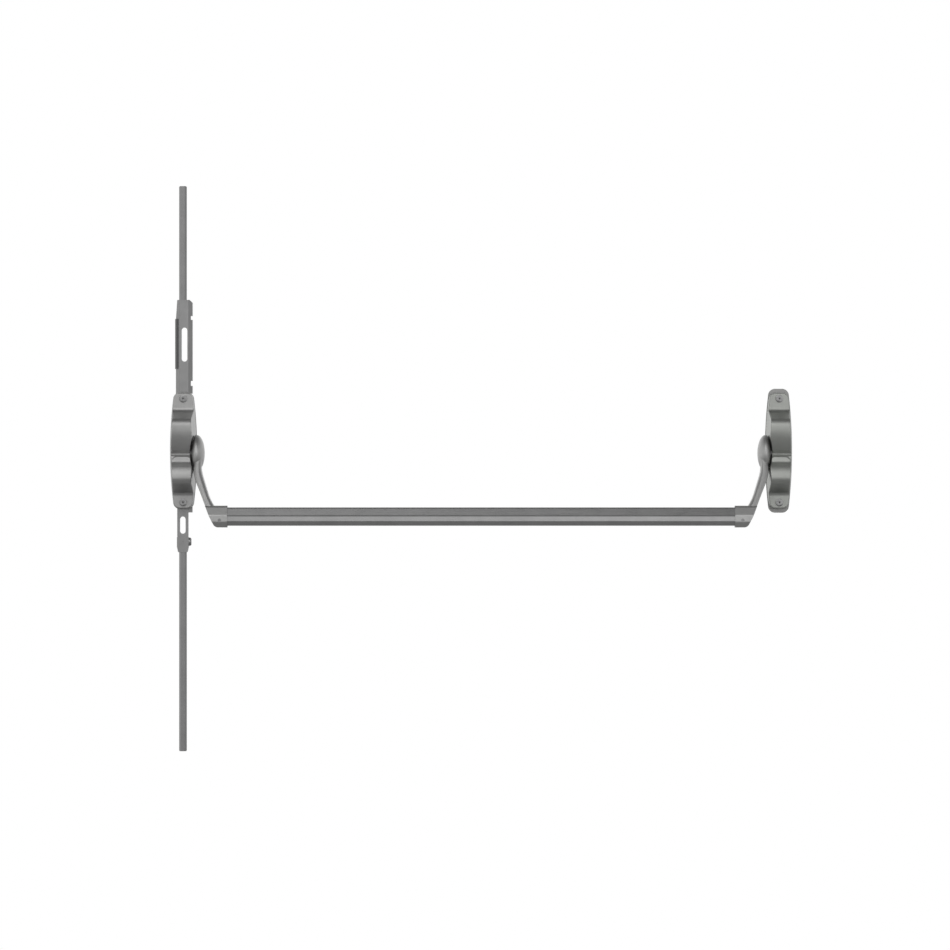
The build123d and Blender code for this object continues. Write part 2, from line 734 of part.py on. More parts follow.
def arm_section(drop, inner, outer):
    """Level section of the arm: an upright oval between two places along X."""
    share = drop / BAR_DROP
    depth = PIVOT_DEPTH + (BAR_DEPTH - PIVOT_DEPTH) * share
    half = ARM_TOP_HALF + (ARM_END_HALF - ARM_TOP_HALF) * share
    width = outer - inner
    oval = RectangleRounded(width, 2 * half, width * ARM_ROUNDING)
    return Pos((inner + outer) / 2, -depth, -drop) * oval


def make_arm():
    """Lever: domed hub, tapering oval arm and bar socket in one casting."""
    low = -BAR_DROP - BAR_HEIGHT / 2 - SOCKET_WALL
    high = -BAR_DROP + BAR_HEIGHT / 2 + SOCKET_WALL
    lean = ARM_INNER_X + ARM_LEAN
    waist = HUB_CROWN_X - ARM_WAIST
    heel = SOCKET_CLOSED_X - ARM_SPREAD
    bend = BAR_DROP * ARM_BEND
    sections = [
        arm_section(0, ARM_INNER_X, waist),
        arm_section(BAR_DROP * ARM_WAIST_DROP, ARM_INNER_X, waist),
        arm_section(bend, lean, lean + ARM_BEND_WIDTH),
    ]
    # From the bend the inner edge runs straight to the heel and the outer one flares to the socket.
    for share, width in ARM_FLARE:
        inner = lean + (heel - lean) * share
        sections.append(arm_section(bend + (BAR_DROP - bend) * share, inner, inner + width))
    arm = loft(sections)

    end = polygon(
        (lean, -bend),
        (heel, -BAR_DROP),
        (SOCKET_CLOSED_X + ARM_HEEL_X, low),
        (SOCKET_OPEN_X, low),
        (SOCKET_OPEN_X, high),
        (SOCKET_CLOSED_X, high),
        (lean + ARM_BEND_WIDTH, -bend),
    )
    end = round_corners(end, {(heel, -BAR_DROP): ARM_HEEL_R, (SOCKET_CLOSED_X + ARM_HEEL_X, low): ARM_TOE_R})
    arm += prism_front(end, FAR) & along_bar(bar_section(SOCKET_WALL), ARM_INNER_X, SOCKET_OPEN_X)
    arm += hub_solid()
    arm -= on_pivot(HUB_BACK_X - 1, HUB_BORE_END, SHAFT_R)
    arm -= along_bar(bar_section(SOCKET_FIT), SOCKET_CLOSED_X, SOCKET_OPEN_X + 1)
    x, z = socket_screw_place()
    arm -= rod_along("Y", (x, -FAR, z), (x, -BAR_DEPTH, z), SET_SCREW_R)
    arm -= rod_along("Y", (HUB_SCREW_X, -PIVOT_DEPTH, 0), (HUB_SCREW_X, 0, 0), SET_SCREW_R)
    return arm


def polar(radius, angle):
    return (radius * math.cos(angle), radius * math.sin(angle))


def involute(radius, base_r):
    """Angle that the involute has run through at a radius."""
    alpha = math.acos(min(1.0, base_r / radius))
    return math.tan(alpha) - alpha


def pinion_face():
    """Involute spur outline with stub teeth; a tooth points along local X."""
    base_r = PITCH_R * math.cos(math.radians(PRESSURE_ANGLE))
    tip_r = PITCH_R + ADDENDUM * MODULE
    root_r = PITCH_R - DEDENDUM * MODULE
    tooth_at_pitch = (math.pi * MODULE - BACKLASH) / (4 * PITCH_R)
    radii = [base_r, (base_r + PITCH_R) / 2, (PITCH_R + tip_r) / 2, tip_r]
    half_tooth = [tooth_at_pitch + involute(PITCH_R, base_r) - involute(r, base_r) for r in radii]
    step = 2 * math.pi / PINION_TEETH
    edges = []
    for n in range(PINION_TEETH):
        middle = n * step
        rising = [polar(r, middle - half) for r, half in zip(radii, half_tooth)]
        falling = [polar(r, middle + half) for r, half in zip(radii, half_tooth)][::-1]
        root_in = polar(root_r, middle + half_tooth[0])
        root_out = polar(root_r, middle + step - half_tooth[0])
        next_foot = polar(base_r, middle + step - half_tooth[0])
        edges += [
            Spline(*rising),
            Line(rising[-1], falling[0]),
            Spline(*falling),
            Line(falling[-1], root_in),
            Line(root_in, root_out),
            Line(root_out, next_foot),
        ]
    return make_face(edges)


def make_pinion():
    face = pinion_face() - Circle(STUD_R + SHAFT_CLEARANCE)
    solid = extrude(face, amount=GEAR_FACE)
    # Local Z becomes +Y; local X stays along X, so a tooth points at each rack.
    return Pos(0, LAYER_FRONT, PINION_Z) * Rot(-90, 0, 0) * solid


def make_stud():
    """Shouldered pinion stud riveted into the base plate, with a clip groove."""
    shoulder = on_stud(0, LAYER_FRONT - SIDE_PLAY, STUD_SHOULDER_R)
    tail = on_stud(-PLATE_THICK, 0, STUD_R)
    clip_front = LAYER_BACK + SIDE_PLAY
    pin = on_stud(0, clip_front + CLIP_THICK + 1.0, STUD_R)
    groove = on_stud(clip_front, clip_front + CLIP_THICK, STUD_R + 1)
    groove -= on_stud(clip_front, clip_front + CLIP_THICK, STUD_R - RING_GROOVE_DEPTH)
    return shoulder + tail + (pin - groove)


def make_clip():
    """E-shaped retaining clip, open downwards."""
    front = LAYER_BACK + SIDE_PLAY
    clip = on_stud(front, front + CLIP_THICK, STUD_R * 2)
    clip -= on_stud(front, front + CLIP_THICK, STUD_R - RING_GROOVE_DEPTH)
    opening = STUD_R - RING_GROOVE_DEPTH - 0.2
    return clip - block((-opening, opening), (front - 1, front + CLIP_THICK + 1), (PINION_Z - FAR, PINION_Z))


def rack_gaps(side, low, high):
    """Tooth spaces of a rack on the given side of the pinion between two heights."""
    pressure = math.tan(math.radians(PRESSURE_ANGLE))
    tip = PITCH_R - ADDENDUM * MODULE
    root = PITCH_R + DEDENDUM * MODULE
    half = math.pi * MODULE / 4
    spaces = []
    first = math.ceil((low - PINION_Z) / PITCH)
    last = math.floor((high - PINION_Z) / PITCH)
    for n in range(first, last + 1):
        z = PINION_Z + n * PITCH
        at_tip = half + (PITCH_R - tip + 1.0) * pressure
        at_root = half - (root - PITCH_R) * pressure
        face = polygon(
            (side * (tip - 1.0), z - at_tip),
            (side * root, z - at_root),
            (side * root, z + at_root),
            (side * (tip - 1.0), z + at_tip),
        )
        spaces.append(prism_front(face, -LAYER_FRONT + 1, -LAYER_BACK - 1))
    return spaces


def channel_section(inset):
    """Outline of the folded upper slide seen along Z, in X and Y."""
    half_web, half = SLIDE_WEB / 2, SLIDE_WIDTH / 2
    shoulder = SLIDE_FRONT + SLIDE_SHOULDER
    back = SLIDE_FRONT + SLIDE_DEPTH
    shift = inset * math.tan(math.atan2(SLIDE_SHOULDER, half - half_web) / 2)
    return polygon(
        (-half_web + shift, SLIDE_FRONT + inset),
        (half_web - shift, SLIDE_FRONT + inset),
        (half - inset, shoulder + inset * 0.4),
        (half - inset, back + (5 if inset else 0)),
        (-half + inset, back + (5 if inset else 0)),
        (-half + inset, shoulder + inset * 0.4),
    )


def make_upper_slide():
    """Folded channel with a long slot, two edge notches and a cut corner."""
    height = SLIDE_TOP - SLIDE_BOTTOM
    outer = channel_section(0)
    bends = sorted(outer.vertices(), key=lambda v: v.Y)[:4]
    outer = fillet(bends, SLIDE_SHEET)
    slide = Pos(0, 0, SLIDE_BOTTOM) * extrude(outer - channel_section(SLIDE_SHEET), amount=height)
    slot = SlotCenterToCenter(SLOT_TOP - SLOT_BOTTOM - SLOT_WIDTH, SLOT_WIDTH)
    upright = Pos(SLOT_OFFSET, (SLOT_TOP + SLOT_BOTTOM) / 2) * Rot(0, 0, 90) * slot
    slide -= prism_front(upright, 0, -LAYER_FRONT - 1)
    edge = SLIDE_WIDTH / 2
    for low, high in (NOTCH_UPPER, NOTCH_LOWER):
        slide -= block((edge - NOTCH_DEPTH, edge + 1), (0, FAR), (low, high))
    over = SLIDE_TOP + 1
    corner = polygon((edge - CORNER_CUT, over), (edge + 1, over), (edge + 1, SLIDE_TOP - CORNER_CUT))
    slide -= prism_front(corner, 0)
    taper = polygon(
        (-edge - 1, LEFT_TAPER_END),
        (-edge, LEFT_TAPER_END),
        (-edge + LEFT_TAPER, over),
        (-edge - 1, over),
    )
    slide -= prism_front(taper, 0)
    return slide


def make_guide_strip():
    """Thin strip folded over the slide's left shoulder and flange."""
    grown = offset(channel_section(0), STRIP_THICK, kind=Kind.INTERSECTION)
    outer = channel_section(0)
    bends = sorted(outer.vertices(), key=lambda v: v.Y)[:4]
    outer = fillet(bends, SLIDE_SHEET)
    band = grown - outer
    left, front = -SLIDE_WIDTH / 2, SLIDE_FRONT + STRIP_START
    keep = Pos(left, front + STRIP_REACH / 2) * Rectangle(2 * STRIP_WIDTH, STRIP_REACH)
    band = band & keep
    return Pos(0, 0, STRIP_BOTTOM) * extrude(band, amount=STRIP_TOP - STRIP_BOTTOM)


def make_upper_rack():
    """Flat leg behind the slide's web that steps left and carries the rack."""
    half = SLIDE_WEB / 2 - LEG_SIDE_GAP
    tip = PITCH_R - ADDENDUM * MODULE
    leg = block((-half, half), (LAYER_FRONT, LAYER_BACK), (SLIDE_BOTTOM - UPPER_LEG_SHELF, UPPER_LEG_TOP))
    leg += block((-LEG_OUTER, half), (LAYER_FRONT, LAYER_BACK),
                 (SLIDE_BOTTOM - UPPER_LEG_SHELF, SLIDE_BOTTOM - RACK_GAP))
    leg += block((-LEG_OUTER, -tip), (LAYER_FRONT, LAYER_BACK), (UPPER_RACK_END, SLIDE_BOTTOM - 1))
    for gap in rack_gaps(-1, UPPER_RACK_END - 2, PINION_Z + TRAVEL + RACK_SPARE_TEETH * PITCH):
        leg -= gap
    return leg


def make_end_block():
    top, bottom = BLOCK_TOP, BLOCK_TOP - BLOCK_HEIGHT
    half = BLOCK_WIDTH / 2
    solid = block((-half, half), (LAYER_FRONT, LAYER_FRONT + BLOCK_DEPTH), (bottom, top))
    return solid - on_rod(bottom - 1, top + 1, ROD_STUD_R)


def hex_rod(low, high, chamfer_low, chamfer_high):
    """Hexagon bar with a flat to the front and turned ends."""
    hexagon = RegularPolygon(ROD_FLATS / 2, 6, major_radius=False)
    bar = extrude(hexagon, amount=high - low)
    radius = ROD_FLATS / math.sqrt(3)
    turned = Cylinder(radius, high - low, align=(Align.CENTER, Align.CENTER, Align.MIN))
    ends = []
    if chamfer_low:
        ends += turned.edges().sort_by(Axis.Z)[:1]
    if chamfer_high:
        ends += turned.edges().sort_by(Axis.Z)[-1:]
    turned = chamfer(ends, ROD_CHAMFER)
    return Pos(ROD_X, ROD_Y, low) * (bar & turned)


def make_upper_rod():
    """Hexagon rod, threaded end through the block and a tapped upper end."""
    rod = hex_rod(BLOCK_TOP, UPPER_ROD_END, False, True)
    stud_end = BLOCK_TOP - BLOCK_HEIGHT - NUT_HEIGHT - ROD_STUD_TAIL
    rod += on_rod(stud_end, BLOCK_TOP, ROD_STUD_R)
    tap = on_rod(UPPER_ROD_END - ROD_TAP_DEPTH, UPPER_ROD_END, ROD_TAP_R)
    return rod - tap


def make_nut():
    top = BLOCK_TOP - BLOCK_HEIGHT
    hexagon = RegularPolygon(NUT_FLATS / 2, 6, major_radius=False) - Circle(ROD_STUD_R)
    return Pos(ROD_X, ROD_Y, top - NUT_HEIGHT) * extrude(hexagon, amount=NUT_HEIGHT)


def make_lower_slide():
    """Rack leg with a window for the lift tongue, and a slotted yoke below."""
    tip = PITCH_R - ADDENDUM * MODULE
    yoke_left, yoke_right = ROD_X - YOKE_WIDTH / 2, ROD_X + YOKE_WIDTH / 2
    half_tongue = TONGUE_THICK / 2
    window = (-half_tongue - TONGUE_WINDOW_DROP, half_tongue + TONGUE_WINDOW_GAP)
    head = (window[0] - HEAD_MARGIN, window[1] + HEAD_MARGIN)
    layer = (LAYER_FRONT, LAYER_BACK)
    slide = block((tip, LEG_OUTER), layer, (LOWER_RACK_SHELF - 5, head[1]))
    slide += block((WINDOW_LEFT - TONGUE_WINDOW_FRAME, LEG_OUTER), layer, head)
    slide -= block((WINDOW_LEFT, WINDOW_RIGHT), (layer[0] - 1, layer[1] + 1), window)
    slide += block((yoke_left, LEG_OUTER), layer, (LOWER_RACK_SHELF - 11, LOWER_RACK_SHELF))
    slide += block((yoke_left, yoke_right), layer, (YOKE_END, LOWER_RACK_SHELF))
    slot_mid = (YOKE_SLOT_TOP + YOKE_SLOT_BOTTOM) / 2
    slot_face = Pos(ROD_X, slot_mid) * Rot(0, 0, 90) * SlotOverall(YOKE_SLOT_TOP - YOKE_SLOT_BOTTOM, YOKE_SLOT)
    slide -= prism_front(slot_face, 0, -FAR)
    for gap in rack_gaps(1, PINION_Z - TRAVEL - RACK_SPARE_TEETH * PITCH, PINION_Z + RACK_SPARE_TEETH * PITCH):
        slide -= gap
    tenon_bottom = KNUCKLE_PIN_Z - TENON_BELOW_PIN
    slide += block((ROD_X - TENON_WIDTH / 2, ROD_X + TENON_WIDTH / 2),
                   (LAYER_MID - TENON_THICK / 2, LAYER_MID + TENON_THICK / 2), (tenon_bottom, YOKE_END))
    return slide - make_knuckle_pin()


def make_knuckle_pin():
    """Cross pin through knuckle and tenon, standing a little proud in front."""
    front = ROD_Y - KNUCKLE_DEPTH / 2
    ends = (ROD_X, front - KNUCKLE_PIN_PROUD, KNUCKLE_PIN_Z), (ROD_X, front + KNUCKLE_DEPTH, KNUCKLE_PIN_Z)
    return rod_along("Y", *ends, KNUCKLE_PIN_R)


def make_knuckle():
    """Casting that joins the yoke to the lower rod, with a tapped boss on its right side."""
    half = KNUCKLE_DEPTH / 2
    top_half, low_half = YOKE_WIDTH / 2 + KNUCKLE_SHOULDER, ROD_FLATS / 2 + KNUCKLE_END_WALL
    taper_start = KNUCKLE_PIN_Z - KNUCKLE_TAPER_DROP
    body = polygon(
        (ROD_X - top_half, YOKE_END),
        (ROD_X + top_half, YOKE_END),
        (ROD_X + top_half, taper_start),
        (ROD_X + low_half, KNUCKLE_END),
        (ROD_X - low_half, KNUCKLE_END),
        (ROD_X - top_half, taper_start),
    )
    knuckle = prism_front(body, -ROD_Y + half, -ROD_Y - half)
    knuckle = fillet(knuckle.edges().filter_by(Axis.Y), KNUCKLE_EDGE_R)
    boss = rod_along("X", (ROD_X, ROD_Y, KNUCKLE_PIN_Z), (KNUCKLE_BOSS_X, ROD_Y, KNUCKLE_PIN_Z), KNUCKLE_BOSS_R)
    boss = chamfer(boss.edges().sort_by(Axis.X)[-1:], KNUCKLE_BOSS_CHAMFER)
    knuckle += boss
    clear = TENON_CLEARANCE
    knuckle -= block((ROD_X - TENON_WIDTH / 2 - clear, ROD_X + TENON_WIDTH / 2 + clear),
                     (LAYER_MID - TENON_THICK / 2 - clear, LAYER_MID + TENON_THICK / 2 + clear),
                     (KNUCKLE_PIN_Z - TENON_BELOW_PIN - clear, YOKE_END + 1))
    knuckle -= on_rod(KNUCKLE_END - 1, KNUCKLE_PIN_Z - KNUCKLE_TAP_DROP, ROD_STUD_R)
    knuckle -= make_knuckle_pin()
    return knuckle - lock_screw_body()


def lock_screw_body():
    start = (ROD_X + TENON_WIDTH / 2 + 2 * TENON_CLEARANCE, ROD_Y, KNUCKLE_PIN_Z)
    return rod_along("X", start, (KNUCKLE_BOSS_X - LOCK_SCREW_SINK, ROD_Y, KNUCKLE_PIN_Z), SET_SCREW_R)


def make_lock_screw():
    place = Pos(KNUCKLE_BOSS_X - LOCK_SCREW_SINK, ROD_Y, KNUCKLE_PIN_Z) * Rot(0, 90, 0)
    return lock_screw_body() - extrude(place * key_face(), amount=-HEX_KEY_DEPTH)


def make_lower_rod():
    """Hexagon rod, threaded into the knuckle, with a tapped lower end."""
    rod = hex_rod(LOWER_ROD_END, KNUCKLE_END, True, False)
    rod += on_rod(KNUCKLE_END, KNUCKLE_PIN_Z - KNUCKLE_TAP_DROP - ROD_FRONT_GAP, ROD_STUD_R)
    tap = on_rod(LOWER_ROD_END, LOWER_ROD_END + ROD_TAP_DEPTH, ROD_TAP_R)
    return rod - tap


def strap_tenons(z):
    inner = LEG_OUTER + STRAP_GAP
    outer = inner + STRAP_THICK
    low, high = z - STRAP_HEIGHT / 4, z + STRAP_HEIGHT / 4
    tabs = block((inner, outer), (-PLATE_THICK, 0), (low, high))
    return tabs + block((-outer, -inner), (-PLATE_THICK, 0), (low, high))


def make_strap(z):
    """U-shaped strap behind the slides, its tabs riveted over in the plate's slots."""
    inner = LEG_OUTER + STRAP_GAP
    outer = inner + STRAP_THICK
    low, high = z - STRAP_HEIGHT / 2, z + STRAP_HEIGHT / 2
    back = LAYER_BACK + STRAP_GAP
    strap = block((-outer, outer), (0, back + STRAP_THICK), (low, high))
    strap = fillet(strap.edges().filter_by(Axis.Z).sort_by(Axis.Y)[-2:], STRAP_THICK)
    strap -= block((-inner, inner), (-1, back), (low - 1, high + 1))
    return strap + strap_tenons(z)


def make_guide_pad(z):
    """Nylon pad between the plate and the slides."""
    half = LEG_OUTER + STRAP_GAP - PAD_FIT
    return block((-half, half), (0, LAYER_FRONT - STRAP_GAP), (z - STRAP_HEIGHT / 2, z + STRAP_HEIGHT / 2))


def build():
    cover = make_cover()
    save("active_cover", cover)
    save("hinge_cover", to_hinge(cover))
    screws = make_cover_screws()
    save("active_cover_screws", *screws)
    save("hinge_cover_screws", *[to_hinge(s) for s in screws])

    save("hinge_base_plate", to_hinge(make_base_plate(PLATE_LIP)))
    active = make_base_plate(PLATE_EDGE) - on_stud(-FAR, FAR, STUD_R)
    active -= block((WINDOW_LEFT, WINDOW_RIGHT), (-PLATE_THICK - 1, 1), PLATE_WINDOW)
    for z in (STRAP_UPPER, STRAP_LOWER):
        active -= strap_tenons(z)
    save("active_base_plate", active)

    for side, place in (("active", lambda s: s), ("hinge", to_hinge)):
        save(f"{side}_shaft_bushes", *[place(b) for b in make_bushes()])
        save(f"{side}_shaft", place(make_shaft()))
        save(f"{side}_shaft_ring", place(make_ring()))
        save(f"{side}_return_spring", place(make_spring()))
        save(f"{side}_rubber_stop", place(make_stop()))
        save(f"{side}_lever_arm", place(make_arm()))
    save("hub_set_screws", hub_screw(), to_hinge(hub_screw()))
    save("socket_screws", socket_screw(), to_hinge(socket_screw()))
    save("collar_pins", collar_pin(), to_hinge(collar_pin()))
    save("lift_tongue", make_collar(TONGUE_REACH, TONGUE_TIP_R))
    save("hinge_stop_collar", to_hinge(make_collar(HEEL_REACH, HEEL_TIP_R)))
    save("push_bar", make_bar())

    save("pinion", make_pinion())
    save("pinion_stud", make_stud())
    save("pinion_clip", make_clip())

    save("upper_slide", make_upper_slide())
    save("upper_guide_strip", make_guide_strip())
    save("upper_rack", make_upper_rack())
    save("upper_end_block", make_end_block())
    save("upper_rod", make_upper_rod())
    save("upper_rod_nut", make_nut())

    save("lower_slide", make_lower_slide())
    save("lower_knuckle", make_knuckle())
    save("knuckle_pin", make_knuckle_pin())
    save("knuckle_lock_screw", make_lock_screw())
    save("lower_rod", make_lower_rod())

    save("slide_guide_straps", make_strap(STRAP_UPPER), make_strap(STRAP_LOWER))
    save("slide_guide_pads", make_guide_pad(STRAP_UPPER), make_guide_pad(STRAP_LOWER))


build()
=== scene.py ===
"""Vertical rod exit device: finishes, screw heads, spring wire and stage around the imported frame."""

import math

import bpy
from bpy.props import FloatProperty, FloatVectorProperty, IntProperty, PointerProperty
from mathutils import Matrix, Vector


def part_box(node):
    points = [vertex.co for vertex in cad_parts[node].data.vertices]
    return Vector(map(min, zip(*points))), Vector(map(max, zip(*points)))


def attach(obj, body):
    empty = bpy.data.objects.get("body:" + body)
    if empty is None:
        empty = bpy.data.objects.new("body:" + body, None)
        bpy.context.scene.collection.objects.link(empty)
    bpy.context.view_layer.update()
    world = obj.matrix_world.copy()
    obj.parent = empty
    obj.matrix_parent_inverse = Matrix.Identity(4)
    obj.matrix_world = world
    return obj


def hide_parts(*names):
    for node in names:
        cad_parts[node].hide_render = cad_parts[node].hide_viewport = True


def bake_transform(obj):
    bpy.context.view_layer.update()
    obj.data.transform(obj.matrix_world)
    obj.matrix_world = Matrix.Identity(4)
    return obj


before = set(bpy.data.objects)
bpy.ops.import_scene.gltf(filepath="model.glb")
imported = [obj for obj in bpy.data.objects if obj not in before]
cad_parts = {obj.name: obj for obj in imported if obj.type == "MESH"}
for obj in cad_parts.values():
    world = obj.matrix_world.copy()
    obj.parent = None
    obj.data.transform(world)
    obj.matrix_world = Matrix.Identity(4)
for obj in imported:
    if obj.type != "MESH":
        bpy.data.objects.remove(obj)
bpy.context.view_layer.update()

bl_info = {
    "name": "Vertical Rod Exit Device",
    "version": (1, 0, 0),
    "blender": (4, 5, 0),
    "location": "View3D > Sidebar > Exit Device",
    "description": "Finishes, fasteners and studio for a crossbar exit device with vertical rods",
    "category": "Object",
}

MM = 0.001

# Places read from the frame
CASE_SPACING = (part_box("hinge_cover")[0][0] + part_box("hinge_cover")[1][0]
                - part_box("active_cover")[0][0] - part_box("active_cover")[1][0]) / 2
SCREW_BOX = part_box("active_cover_screws")
HEAD_RADIUS = (SCREW_BOX[1][0] - SCREW_BOX[0][0]) / 2
HEAD_FRONT = SCREW_BOX[0][1]
SCREW_X = (SCREW_BOX[1][0] + SCREW_BOX[0][0]) / 2
SCREW_TOP_Z = SCREW_BOX[1][2] - HEAD_RADIUS
SCREW_LOW_Z = SCREW_BOX[0][2] + HEAD_RADIUS
SHAFT_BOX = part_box("active_shaft")
PIVOT_Y = (SHAFT_BOX[0][1] + SHAFT_BOX[1][1]) / 2
SPRING_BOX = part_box("active_return_spring")
BAR_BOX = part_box("push_bar")

# Textures, in turns for each metre and in metres of depth
MARK_SCALE = 900.0
CLOUD_SCALE = 45.0
PIT_SCALE = 2600.0
MARK_DEPTH = 0.2 * MM
PIT_DEPTH = 0.1 * MM
NOISE_RANGE = (0.3, 0.7)
CLOUD_TONES = (0.95, 1.05)
GRAIN_TONES = (0.9, 1.1)
ROUGH_BELOW = 0.05
ROUGH_ABOVE = 0.06
METALLIC = 0.92
EVEN = (1, 1, 1)

# Painted shade in the crossbar's groove: half widths of full and of no painted shade, and depths where
# the front ends
PAINTED_SHADE_WIDTHS = (0.7 * MM, 1.7 * MM)
PAINTED_SHADE_DEPTHS = (4 * MM, 6 * MM)
PAINTED_SHADE_AWAY = 4 * MM

# Edges and meshes
WELD_GAP = 1e-6
FLAT_ANGLE = math.radians(0.5)
EDGE_ANGLE = math.radians(28)
HEAD_ANGLE = math.radians(32)
WIRE_ANGLE = math.radians(40)
UPRIGHT = 0.9
SKIN_WELD = 0.01 * MM
SKIN_SHARE = 0.4
RELAX_FACTOR = 0.5

# Screws and springs
HEAD_SIDES = 56
HEAD_RINGS = (1.0, 0.93, 0.82, 0.68, 0.5, 0.3, 0.1)
HEAD_SOFT = 0.12 * MM
HEAD_STEPS = 2
SHANK_CHAMFER = 0.4 * MM
RECESS_TAPER = (0.55, 0.75, 1)
HEAD_TURNS = (0.35, -0.5)
WIRE_SIDES = 14
COIL_STEPS = 28
BEND_STEPS = 5

# Stage
SENSOR = 36.0
CLIP_END = 100.0
FLOOR_SIZE = 9.0
FLOOR_Y = -0.6
FLOOR_ROUGHNESS = 0.9
FLOOR_TONE = (0.8, 0.8, 0.8, 1)
FLOOR_GLOW = 0.85
KEY_PLACE = (-0.6, -4.6, 3.4)
FILL_PLACE = (2.8, -4.6, 0.6)
BACK_PLACE = (0.5, 4.0, 1.8)
WHITE = (1, 1, 1, 1)

# Where the mirrored room darkens, as parts of a direction: overhead, underfoot and on the hinge side
ABOVE = (0.15, 0.80)
BELOW = (-0.55, -0.05)
BESIDE = (0.35, 0.90)


def colour(name, text, value):
    """A colour setting."""
    return FloatVectorProperty(name=name, description=text, default=value, size=3, min=0, max=1,
                               subtype="COLOR")


def length(name, text, value):
    """A length setting in metres."""
    return FloatProperty(name=name, description=text, default=value, min=0, unit="LENGTH")


def place(name, text, value):
    """A place along an axis in metres, which may be below nought."""
    return FloatProperty(name=name, description=text, default=value, unit="LENGTH")


def power(name, text, value):
    """A lamp's power in watts."""
    return FloatProperty(name=name, description=text, default=value, min=0, unit="POWER")


def factor(name, text, value):
    """A plain number from nought to one."""
    return FloatProperty(name=name, description=text, default=value, min=0, max=1, subtype="FACTOR")


class FinishSettings(bpy.types.PropertyGroup):
    """Colours and textures of the metal and plastic."""

    case: colour("Case", "Satin plated metal of the active case", (0.40, 0.40, 0.395))
    hinge_case: colour("Hinge case", "Satin plated metal of the hinge-side case", (0.38, 0.39, 0.37))
    plate: colour("Base plate", "Cast plate behind each cover", (0.35, 0.35, 0.345))
    lever: colour("Lever arms", "Satin plated lever castings", (0.44, 0.44, 0.435))
    bar: colour("Crossbar", "Drawn tube of the crossbar", (0.37, 0.37, 0.37))
    rod: colour("Rods", "Cold drawn hexagon bar", (0.25, 0.25, 0.25))
    slide: colour("Slides", "Plated sheet of the slides", (0.29, 0.29, 0.29))
    gear: colour("Gearing", "Machined steel of shafts, tongue, collar and pinion", (0.34, 0.34, 0.35))
    screw: colour("Screws", "Plated screws, pins and nut", (0.27, 0.27, 0.27))
    spring: colour("Springs", "Oiled spring wire", (0.20, 0.20, 0.21))
    bronze: colour("Bushes", "Sintered bronze", (0.52, 0.34, 0.17))
    rubber: colour("Stops", "Black rubber", (0.022, 0.022, 0.023))
    nylon: colour("Guide pads", "Natural nylon", (0.72, 0.70, 0.64))
    strip: colour("Guide strip", "Dark plastic strip on the upper slide", (0.105, 0.105, 0.105))
    satin: factor("Satin roughness", "Roughness of the plated castings", 0.42)
    drawn: factor("Drawn roughness", "Roughness of drawn bars and tubes", 0.30)
    grain: factor("Grain depth", "Depth of brushing marks", 0.12)


class EdgeSettings(bpy.types.PropertyGroup):
    """Softness of edges."""

    voxel: length("Cover skin", "Mesh size of the covers' cast skin", 0.75 * MM)
    relax: IntProperty(name="Cover relax", description="Smoothing rounds of the covers' skin",
                       default=8, min=0, max=40)
    cast: length("Castings", "Edge softness of levers", 0.8 * MM)
    machined: length("Machined", "Edge softness of machined pieces", 0.25 * MM)
    sheet: length("Sheet", "Edge softness of sheet pieces", 0.2 * MM)
    steps: IntProperty(name="Steps", description="Faces across each softened edge",
                       default=3, min=1, max=6)
    groove: factor("Groove place", "Height of the groove as a share of the crossbar's height", 0.545)
    # Tone of the painted shade along the crossbar's groove
    painted_groove_shade: factor("Groove shade", "Tone left in the crossbar's groove", 0.5)


class ScrewSettings(bpy.types.PropertyGroup):
    """Sizes of the truss-head cover screws."""

    head_height: length("Head height", "Height of the truss head", 2.6 * MM)
    rim_height: length("Rim height", "Upright rim below the dome", 0.5 * MM)
    slot_width: length("Recess width", "Width of each arm of the cross recess", 1.3 * MM)
    slot_length: length("Recess length", "Length across the cross recess", 5.6 * MM)
    slot_depth: length("Recess depth", "Depth of the cross recess", 1.5 * MM)
    shank_radius: length("Shank radius", "Radius of the screw's shank", 2.5 * MM)
    shank_end: length("Shank end", "Depth of the screw's end behind the cover's face", 9.1 * MM)


class SpringSettings(bpy.types.PropertyGroup):
    """Sizes of the torsion return springs."""

    wire: length("Wire radius", "Radius of the spring wire", 0.9 * MM)
    coil: length("Coil radius", "Radius of the coil at the wire's middle", 8.2 * MM)
    pitch: length("Pitch", "Distance between turns", 2.0 * MM)
    turns: FloatProperty(name="Turns", description="Turns of the coil", default=2.5,
                         min=0.5, max=12)
    leg: length("Leg", "Length of the leg that bears on the tongue", 12.0 * MM)
    bend: length("Bend", "Radius of the bend at the leg's end", 1.6 * MM)


class StageSettings(bpy.types.PropertyGroup):
    """Camera, lamps and floor."""

    distance: length("Camera distance", "Distance from the door plane", 8.0)
    frame_width: length("Frame width", "Width of the picture at the door plane", 1.572)
    centre_x: place("Centre X", "Middle of the picture", 0.482)
    centre_z: place("Centre Z", "Middle of the picture", -0.036)
    floor_z: place("Floor", "Height of the floor", -1.25)
    key_power: power("Key lamp", "Power of the key lamp", 48.0)
    fill_power: power("Fill lamp", "Power of the fill and back lamps", 16.0)
    lamp_size: length("Lamp size", "Width across each round lamp", 4.4)
    sky: factor("Sky", "Even light from all round", 0.70)
    horizon: factor("Horizon", "Brightness that metal mirrors at eye level", 0.92)
    dusk: factor("Dusk", "Brightness that metal mirrors overhead", 0.16)
    ground: factor("Ground", "Brightness that metal mirrors underfoot", 0.30)
    side: factor("Side", "Share of that brightness that is left on the hinge side", 0.75)


def settings():
    """The scene's own settings."""
    return bpy.context.scene.exit_device


class DeviceSettings(bpy.types.PropertyGroup):
    """All settings of the device."""

    finish: PointerProperty(type=FinishSettings)
    edges: PointerProperty(type=EdgeSettings)
    screws: PointerProperty(type=ScrewSettings)
    springs: PointerProperty(type=SpringSettings)
    stage: PointerProperty(type=StageSettings)


# Node helpers

